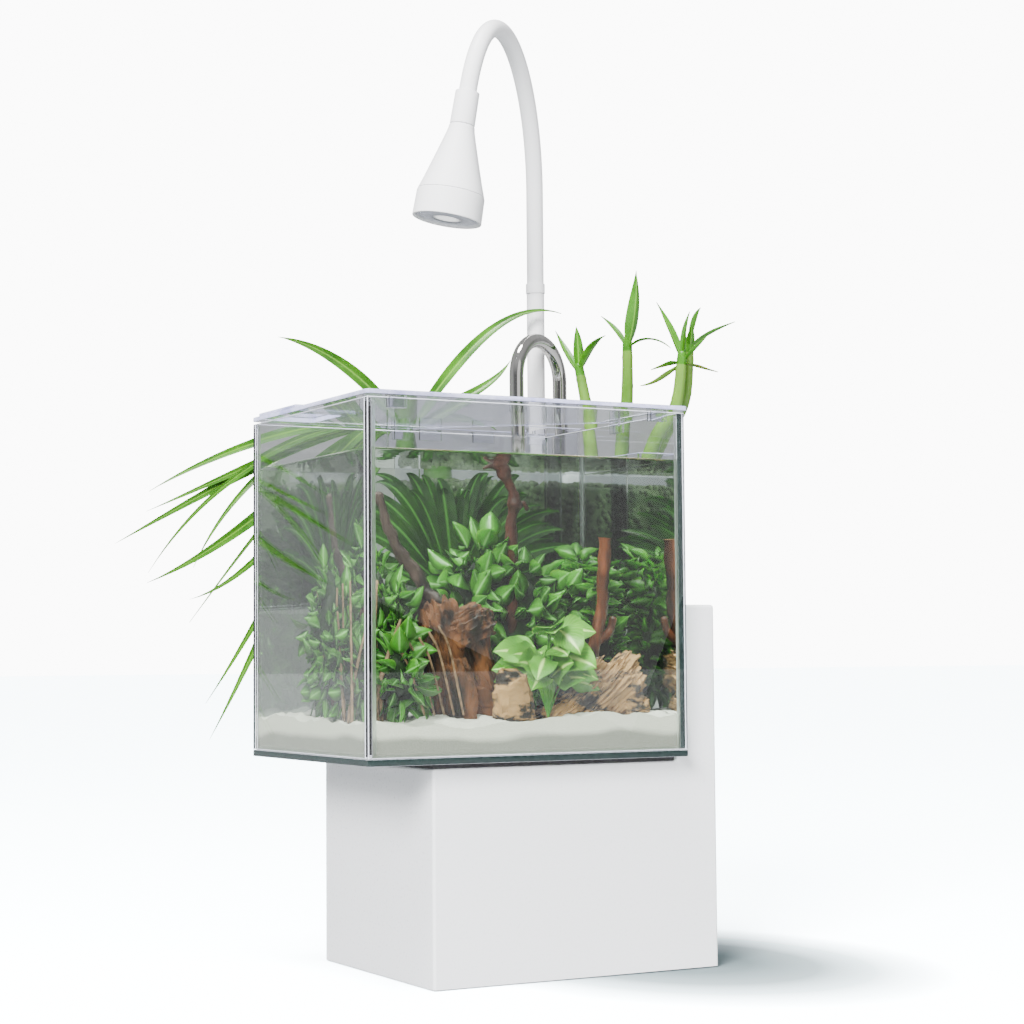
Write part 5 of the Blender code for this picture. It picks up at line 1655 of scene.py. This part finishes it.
class AQUARIUM_OT_water_plants(bpy.types.Operator):
    """Strap-leaved plant, leafy clumps and moss"""
    bl_idname = "aquarium.water_plants"
    bl_label = "Water Plants"

    def execute(self, context):
        seed = settings("plant_settings").leaf_seed
        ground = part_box("sand_bed")[1].z
        ceiling = settings("tank_settings").water_level - LEAF_BELOW_SURFACE
        low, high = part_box("strap_plant")
        heart = Vector(((low.x + high.x) / 2, (low.y + high.y) / 2, ground))
        rng = random.Random(seed)
        shape = bmesh.new()
        add_bar(shape, [heart - UP * 0.002, heart + UP * 0.05, heart + UP * 0.104],
                [0.008, 0.0065, 0.005], 16, 0.2)
        count = 34
        for k in range(count):
            lean = (k / (count - 1) - 0.5) * 2
            lean += rng.uniform(-0.06, 0.06)
            depth = rng.uniform(-0.010, 0.012)
            start = heart + Vector((0.004 * lean, depth * 0.3, rng.uniform(0.085, 0.102)))
            reach = 0.108 * math.sin(lean * 1.35)
            top = 0.098 * math.cos(lean * 1.2) + rng.uniform(-0.012, 0.010)
            tip = start + Vector((reach, depth + rng.uniform(-0.012, 0.012), top))
            tip.z = min(tip.z, ceiling)
            over = start + Vector((reach * 0.38, depth * 0.6, top * 0.72))
            far = start + Vector((reach * 0.75, depth, top * 1.05))
            far.z = min(far.z, ceiling)
            add_blade(shape, arch(start, over, far, tip, 14), rng.uniform(0.0052, 0.0088),
                      fold=0.30, across=4, lean=Vector((0.2 * lean, -1, 0.1)),
                      twist=rng.uniform(-0.5, 0.5))
        keep_inside(piece("strap_leaves", shape, look("strap_leaf"), "base", ["strap_plant"],
                          sharp=70))

        low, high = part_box("plant_clump_left")
        clump("leafy_clump_left", low + Vector((0.010, 0.008, 0)), high - UP * 0.010,
              small_leaf(0.018, 0.0062), "clump_leaf", 14000, (0.55, 1.25), (0.2, 1.3),
              seed + 11, 0.6, ["plant_clump_left"])
        low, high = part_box("plant_clump_back")
        clump("leafy_clump_back", low + Vector((0.006, 0, 0)), high - UP * 0.010,
              small_leaf(0.023, 0.0080), "clump_leaf", 9000, (0.55, 1.30), (0.2, 1.3),
              seed + 12, 0.6, ["plant_clump_back"])
        clump("leafy_clump_corner", (-0.160, -0.050, ground + 0.020),
              (-0.118, 0.020, ground + 0.108), small_leaf(0.020, 0.0070), "clump_leaf", 8000,
              (0.5, 1.25), (0.2, 1.35), seed + 16, 0.8)
        low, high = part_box("plant_clump_right")
        clump("mossy_stems", low - Vector((0.010, -0.022, 0)), high - Vector((0.008, 0.0, 0.020)),
              small_leaf(0.016, 0.0050, 0.5, 0.4, 4), "moss", 22000, (0.5, 1.3), (0.2, 1.4),
              seed + 14, 0.7, ["plant_clump_right"])
        clump("dark_clump_middle", (-0.022, -0.010, ground), (0.044, 0.030, ground + 0.070),
              small_leaf(0.014, 0.0052), "clump_leaf", 20000, (0.6, 1.2), (0.2, 1.3), seed + 15)

        low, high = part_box("plant_clump_front")
        shape = bmesh.new()
        root = Vector((high.x - 0.006, low.y + 0.010, ground))
        rng = random.Random(seed + 3)
        for k in range(34):
            angle = rng.uniform(0, 2 * math.pi)
            rise = rng.uniform(0.026, 0.068)
            spread = rng.uniform(0.006, 0.028)
            elbow = root + Vector((math.cos(angle) * spread * 0.6, math.sin(angle) * spread * 0.5,
                                   rise))
            stem = through([root, elbow * 0.5 + root * 0.5 + UP * 0.004, elbow], 4)
            add_bar(shape, stem, 0.0007, 6, dome=False)
            length = rng.uniform(0.024, 0.036)
            out = Vector((math.cos(angle), math.sin(angle) * 0.7, rng.uniform(-0.60, 0.30)))
            tip = elbow + out.normalized() * length
            bow = elbow + out.normalized() * length * 0.5 + UP * 0.004
            add_blade(shape, [on_curve((elbow, bow, tip), s / 10) for s in range(11)],
                      length * rng.uniform(0.33, 0.42), fold=0.22, across=6, wave=0.14,
                      lean=Vector((-0.3, -0.8, 0.5)))
        keep_inside(piece("pale_broad_leaves", shape, look("pale_leaf"), "base",
                          ["plant_clump_front"], sharp=70))
        return {"FINISHED"}


# ---------------------------------------------------------------- plants above the water

class AQUARIUM_OT_arching_plant(bpy.types.Operator):
    """The tuft behind the tank, with leaves that arch out over its left side"""
    bl_idname = "aquarium.arching_plant"
    bl_label = "Arching Plant"

    def execute(self, context):
        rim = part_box("planter_trough")[1].z
        heart = Vector((-0.036, 0.131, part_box("planter_media")[1].z))
        crown = Vector((heart.x, heart.y, rim + 0.002))
        # each leaf: where it passes over the rim, where it starts to fall, its tip, half width
        leaves = (
            ((-0.075, 0.133, 0.452), (-0.180, 0.132, 0.425), (-0.262, 0.130, 0.376), 0.0042),
            ((-0.075, 0.136, 0.452), (-0.170, 0.136, 0.400), (-0.264, 0.130, 0.360), 0.0036),
            ((-0.080, 0.138, 0.452), (-0.180, 0.138, 0.395), (-0.289, 0.132, 0.334), 0.0046),
            ((-0.080, 0.130, 0.455), (-0.200, 0.130, 0.410), (-0.263, 0.128, 0.311), 0.0028),
            ((-0.080, 0.126, 0.455), (-0.160, 0.126, 0.345), (-0.264, 0.128, 0.303), 0.0058),
            ((-0.082, 0.142, 0.455), (-0.175, 0.142, 0.410), (-0.221, 0.140, 0.316), 0.0034),
            ((-0.084, 0.146, 0.455), (-0.160, 0.146, 0.350), (-0.222, 0.146, 0.272), 0.0022),
            ((-0.082, 0.124, 0.455), (-0.150, 0.124, 0.310), (-0.229, 0.126, 0.290), 0.0040),
            ((-0.086, 0.122, 0.455), (-0.136, 0.122, 0.320), (-0.216, 0.124, 0.207), 0.0044),
            ((-0.090, 0.128, 0.455), (-0.140, 0.128, 0.300), (-0.212, 0.126, 0.178), 0.0048),
            ((-0.088, 0.134, 0.455), (-0.120, 0.134, 0.350), (-0.150, 0.132, 0.290), 0.0044),
            ((-0.080, 0.120, 0.455), (-0.110, 0.120, 0.390), (-0.165, 0.120, 0.330), 0.0040),
            ((-0.052, 0.131, 0.460), (-0.098, 0.131, 0.503), (-0.151, 0.130, 0.507), 0.0050),
            ((-0.010, 0.124, 0.462), (0.040, 0.112, 0.556), (0.106, 0.108, 0.541), 0.0050),
            ((-0.005, 0.132, 0.456), (0.050, 0.132, 0.470), (0.066, 0.128, 0.500), 0.0050),
            ((-0.012, 0.140, 0.452), (0.030, 0.144, 0.458), (0.060, 0.146, 0.440), 0.0050),
        )
        shape = bmesh.new()
        add_bar(shape, [heart - UP * 0.004, heart + UP * 0.03, crown], [0.011, 0.009, 0.006], 20,
                0.25)
        rng = random.Random(settings("plant_settings").leaf_seed)
        for rise, fall, tip, half_width in leaves:
            start = crown - UP * 0.010 + Vector((rng.uniform(-0.003, 0.003),
                                                 rng.uniform(-0.003, 0.003), 0))
            add_blade(shape, arch(start, rise, fall, tip, 30), half_width * 1.12,
                      lambda share: leaf_width(share, 0.45), fold=0.30, thickness=0.0007,
                      across=4, lean=Vector((-0.40, -0.80, 0.45)),
                      twist=rng.uniform(-0.35, 0.35), wave=0.04)
        piece("arching_leaves", shape, look("spider_leaf"), "base", ["spider_plant"],
              sharp=70)
        return {"FINISHED"}


class AQUARIUM_OT_bamboo(bpy.types.Operator):
    """Jointed bamboo stalks with their leaves"""
    bl_idname = "aquarium.bamboo"
    bl_label = "Bamboo"

    def execute(self, context):
        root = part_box("side_media")[1].z - 0.004
        # each stalk: node, knots of its path, and leaves as (bow, tip, half width)
        stalks = (
            ("bamboo_rear", ((0.105, 0.052, root), (0.105, 0.056, 0.420), (0.105, 0.065, 0.455),
                             (0.105, 0.077, 0.490)),
             (((0.106, 0.079, 0.510), (0.105, 0.081, 0.526), 0.0046),
              ((0.107, 0.060, 0.508), (0.106, 0.034, 0.512), 0.0050),
              ((0.104, 0.095, 0.500), (0.105, 0.117, 0.527), 0.0046))),
            ("bamboo_middle", ((0.105, 0.008, root), (0.105, 0.004, 0.420),
                               (0.106, 0.000, 0.460), (0.106, -0.001, 0.502)),
             (((0.106, -0.018, 0.525), (0.106, -0.016, 0.559), 0.0066),
              ((0.105, 0.016, 0.515), (0.105, 0.039, 0.529), 0.0038),
              ((0.108, -0.030, 0.508), (0.112, -0.058, 0.490), 0.0026))),
            ("bamboo_pair", ((0.106, -0.024, root), (0.112, -0.036, 0.418),
                             (0.124, -0.046, 0.446), (0.128, -0.050, 0.486)),
             (((0.127, -0.038, 0.505), (0.118, -0.028, 0.532), 0.0044),
              ((0.129, -0.052, 0.505), (0.131, -0.057, 0.521), 0.0040),
              ((0.134, -0.062, 0.490), (0.138, -0.072, 0.500), 0.0036),
              ((0.118, -0.040, 0.478), (0.104, -0.040, 0.474), 0.0050),
              ((0.116, -0.034, 0.462), (0.100, -0.030, 0.462), 0.0044),
              ((0.136, -0.064, 0.474), (0.144, -0.078, 0.470), 0.0040))),
            ("bamboo_pair", ((0.106, -0.024, root), (0.124, -0.028, 0.420),
                             (0.140, -0.034, 0.452), (0.143, -0.038, 0.500)),
             (((0.146, -0.044, 0.522), (0.145, -0.052, 0.526), 0.0044),
              ((0.152, -0.050, 0.505), (0.165, -0.072, 0.513), 0.0040),
              ((0.140, -0.046, 0.500), (0.136, -0.052, 0.512), 0.0036))),
        )
        for number, (node, knots, leaves) in enumerate(stalks):
            path = through(knots, 16)
            count = len(path) - 1
            radii = []
            for k in range(len(path)):
                share = k / count
                ring = max(0.0, 1 - abs((share * 5) % 1 - 0.5) / 0.06)
                radii.append((0.0066 - 0.0026 * share) * (1 + 0.12 * ring))
            shape = bmesh.new()
            add_bar(shape, path, radii, 20)
            top = path[-1]
            add_blade(shape, arch(top - UP * 0.006, top + Vector((0.003, 0, 0.004)),
                                  top + Vector((0.002, -0.003, 0.012)),
                                  top + Vector((0.001, -0.004, 0.020)), 10), 0.0030, fold=0.6,
                      across=4)
            for bow, tip, half_width in leaves:
                start = top - UP * 0.006
                add_blade(shape, [on_curve((start, bow, tip), s / 18) for s in range(19)],
                          half_width, lambda share: leaf_width(share, 0.36), fold=0.45,
                          thickness=0.0006, across=4, wave=0.06)
            green_from = top.z - 0.008
            for face in shape.faces:
                if face.calc_center_median().z > green_from and len(face.verts) == 4:
                    face.material_index = 1
            name = f"{node}_stalk_{number}"
            replaced = [node] if number < 3 else []
            piece(name, shape, [look("stalk"), look("bamboo_leaf")], "base", replaced,
                  sharp=70)
        return {"FINISHED"}


# ---------------------------------------------------------------- stage

class AQUARIUM_OT_stage(bpy.types.Operator):
    """Pale floor with a painted shadow beside the stand, soft light and the camera"""
    bl_idname = "aquarium.stage"
    bl_label = "Stage"

    def execute(self, context):
        shape = bmesh.new()
        bmesh.ops.create_grid(shape, x_segments=1, y_segments=1, size=30.0)
        floor = loose_object("floor", shape)
        floor_look, tree, shader = surface("pale_floor_with_painted_shadow", 0.6)
        shader.inputs["Base Color"].default_value = (0.30, 0.31, 0.32, 1)
        bright = new_node(tree, "ShaderNodeBsdfDiffuse")
        where = new_node(tree, "ShaderNodeTexCoord")
        # Camera rays see a bright floor darkened by a painted shadow: a soft round patch right of
        # the stand, drawn at a fixed spot of the floor.
        patch = new_node(tree, "ShaderNodeMapping",
                         {"Location": (0.115, -0.060, 0.0),
                          "Scale": (0.19, 0.25, 1.0)}, vector_type="TEXTURE")
        fade = new_node(tree, "ShaderNodeTexGradient", gradient_type="SPHERICAL")
        painted_floor_shadow = ramp(tree, fade.outputs["Fac"], [
            (0.0, (1.0, 1.0, 1.0)), (0.12, (0.62, 0.62, 0.62)), (0.30, (0.24, 0.25, 0.25)),
            (0.50, (0.085, 0.09, 0.09)), (0.75, (0.045, 0.05, 0.05))])
        tone = new_node(tree, "ShaderNodeVectorMath", {1: (3.6, 4.1, 4.3)}, operation="MULTIPLY")
        join(tree, (where.outputs["Object"], patch.inputs["Vector"]),
             (patch.outputs[0], fade.inputs[0]), (painted_floor_shadow, tone.inputs[0]),
             (tone.outputs[0], bright.inputs["Color"]))
        light_path = new_node(tree, "ShaderNodeLightPath")
        mix = new_node(tree, "ShaderNodeMixShader")
        join(tree, (light_path.outputs["Is Camera Ray"], mix.inputs[0]),
             (shader.outputs[0], mix.inputs[1]), (bright.outputs[0], mix.inputs[2]),
             (mix.outputs[0], tree.nodes["Material Output"].inputs["Surface"]))
        floor.data.materials.append(floor_look)
        floor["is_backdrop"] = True

        world = bpy.data.worlds.new("studio")
        world.use_nodes = True
        tree = world.node_tree
        soft = tree.nodes["Background"]
        where = new_node(tree, "ShaderNodeTexCoord")
        split = new_node(tree, "ShaderNodeSeparateXYZ")
        height = new_node(tree, "ShaderNodeMapRange", {"From Min": 0.10, "From Max": 0.60})
        depth = new_node(tree, "ShaderNodeMapRange", {"From Min": -0.5, "From Max": 0.1})
        most = new_node(tree, "ShaderNodeMath", operation="MAXIMUM")
        tone = ramp(tree, most.outputs[0], [(0.0, (0.22, 0.23, 0.24)), (1.0, (0.94, 0.97, 1.0))])
        soft.inputs["Strength"].default_value = SOFT_LIGHT
        seen = new_node(tree, "ShaderNodeBackground",
                        {"Strength": WHITE_TO_CAMERA, "Color": (1, 1, 1, 1)})
        light_path = new_node(tree, "ShaderNodeLightPath")
        mix = new_node(tree, "ShaderNodeMixShader")
        join(tree, (where.outputs["Generated"], split.inputs[0]),
             (split.outputs["Z"], height.inputs["Value"]),
             (split.outputs["Y"], depth.inputs["Value"]),
             (height.outputs["Result"], most.inputs[0]),
             (depth.outputs["Result"], most.inputs[1]), (tone, soft.inputs["Color"]),
             (light_path.outputs["Is Camera Ray"], mix.inputs[0]),
             (soft.outputs[0], mix.inputs[1]), (seen.outputs[0], mix.inputs[2]),
             (mix.outputs[0], tree.nodes["World Output"].inputs["Surface"]))
        bpy.context.scene.world = world

        def add_light(name, kind, energy, spot, aim, extent, turn=0.0):
            data = bpy.data.lights.new(name, kind)
            data.energy = energy
            if kind == "SUN":
                data.angle = extent
            else:
                data.shape = "RECTANGLE"
                data.size, data.size_y = extent
            made = bpy.data.objects.new(name, data)
            ahead = (Vector(aim) - Vector(spot)).normalized()
            facing = ahead.to_track_quat("-Z", "Y")
            made.matrix_world = (Matrix.Translation(spot)
                                 @ (Quaternion(-ahead, turn) @ facing).to_matrix().to_4x4())
            bpy.context.scene.collection.objects.link(made)
            return made

        add_light("overhead", "SUN", 6.5, (-0.50, -0.26, 2.0), (0, 0, 0), math.radians(24))
        for name, power, spot in (("left_key", 430.0, (-2.3, -2.1, 1.7)),
                                  ("front_fill", 70.0, (0.7, -3.0, 0.5))):
            fill = add_light(name, "AREA", power, spot, (0, 0, 0.35), (1.3, 1.3))
            fill.visible_glossy = False
            fill.visible_transmission = False
        window = add_light("window", "AREA", 2.4, (0.292, -1.0, 0.722), (0.292, 0, 0.722),
                           (1.0, 0.8), math.radians(-24.8))
        window.visible_diffuse = False
        window.visible_transmission = False

        data = bpy.data.cameras.new("camera")
        data.sensor_width = FILM_WIDTH
        data.lens = CAMERA_LENS
        data.clip_start = 0.05
        data.clip_end = 100
        camera = bpy.data.objects.new("camera", data)
        yaw, pitch, roll = CAMERA_YAW, CAMERA_PITCH, CAMERA_ROLL
        ahead = Vector((math.sin(yaw) * math.cos(pitch), math.cos(yaw) * math.cos(pitch),
                        math.sin(pitch)))
        right = Vector((math.cos(yaw), -math.sin(yaw), 0))
        upward = right.cross(ahead)
        turned_right = right * math.cos(roll) + upward * math.sin(roll)
        turned_up = upward * math.cos(roll) - right * math.sin(roll)
        matrix = Matrix((turned_right, turned_up, -ahead)).transposed().to_4x4()
        matrix.translation = CAMERA_PLACE
        camera.matrix_world = matrix
        bpy.context.scene.collection.objects.link(camera)
        bpy.context.scene.camera = camera
        return {"FINISHED"}


# ---------------------------------------------------------------- panel and registration

MAKERS = (AQUARIUM_OT_stage, AQUARIUM_OT_stand, AQUARIUM_OT_tank, AQUARIUM_OT_water,
          AQUARIUM_OT_sand, AQUARIUM_OT_lid, AQUARIUM_OT_trough, AQUARIUM_OT_pipe,
          AQUARIUM_OT_pump, AQUARIUM_OT_lamp, AQUARIUM_OT_hardscape, AQUARIUM_OT_water_plants,
          AQUARIUM_OT_arching_plant, AQUARIUM_OT_bamboo)
GROUPS = {"stand_settings": StandSettings, "tank_settings": TankSettings,
          "lid_settings": LidSettings, "lamp_settings": LampSettings,
          "plant_settings": PlantSettings}


class AQUARIUM_PT_panel(bpy.types.Panel):
    """Settings and makers of the aquarium"""
    bl_idname = "AQUARIUM_PT_panel"
    bl_label = "Aquarium"
    bl_space_type = "VIEW_3D"
    bl_region_type = "UI"
    bl_category = "Aquarium"

    def draw(self, context):
        for group, kind in GROUPS.items():
            box = self.layout.box()
            for label in kind.__annotations__:
                box.prop(getattr(context.scene, group), label)
        for maker in MAKERS:
            self.layout.operator(maker.bl_idname)


def register():
    for kind in (*GROUPS.values(), *MAKERS, AQUARIUM_PT_panel):
        bpy.utils.register_class(kind)
    for group, kind in GROUPS.items():
        setattr(bpy.types.Scene, group, PointerProperty(type=kind))


def unregister():
    for group in GROUPS:
        delattr(bpy.types.Scene, group)
    for kind in (AQUARIUM_PT_panel, *reversed(MAKERS), *GROUPS.values()):
        bpy.utils.unregister_class(kind)


def clear_start():
    """Take away the start-up scene's objects, but none of the frame's."""
    kept = {*frame["nodes"].values(), *frame["bodies"].values()}
    for thing in list(bpy.data.objects):
        if thing not in kept:
            bpy.data.objects.remove(thing)


def main():
    clear_start()
    register()
    for maker in MAKERS:
        group, name = maker.bl_idname.split(".")
        getattr(getattr(bpy.ops, group), name)()


if __name__ == "__main__":
    main()
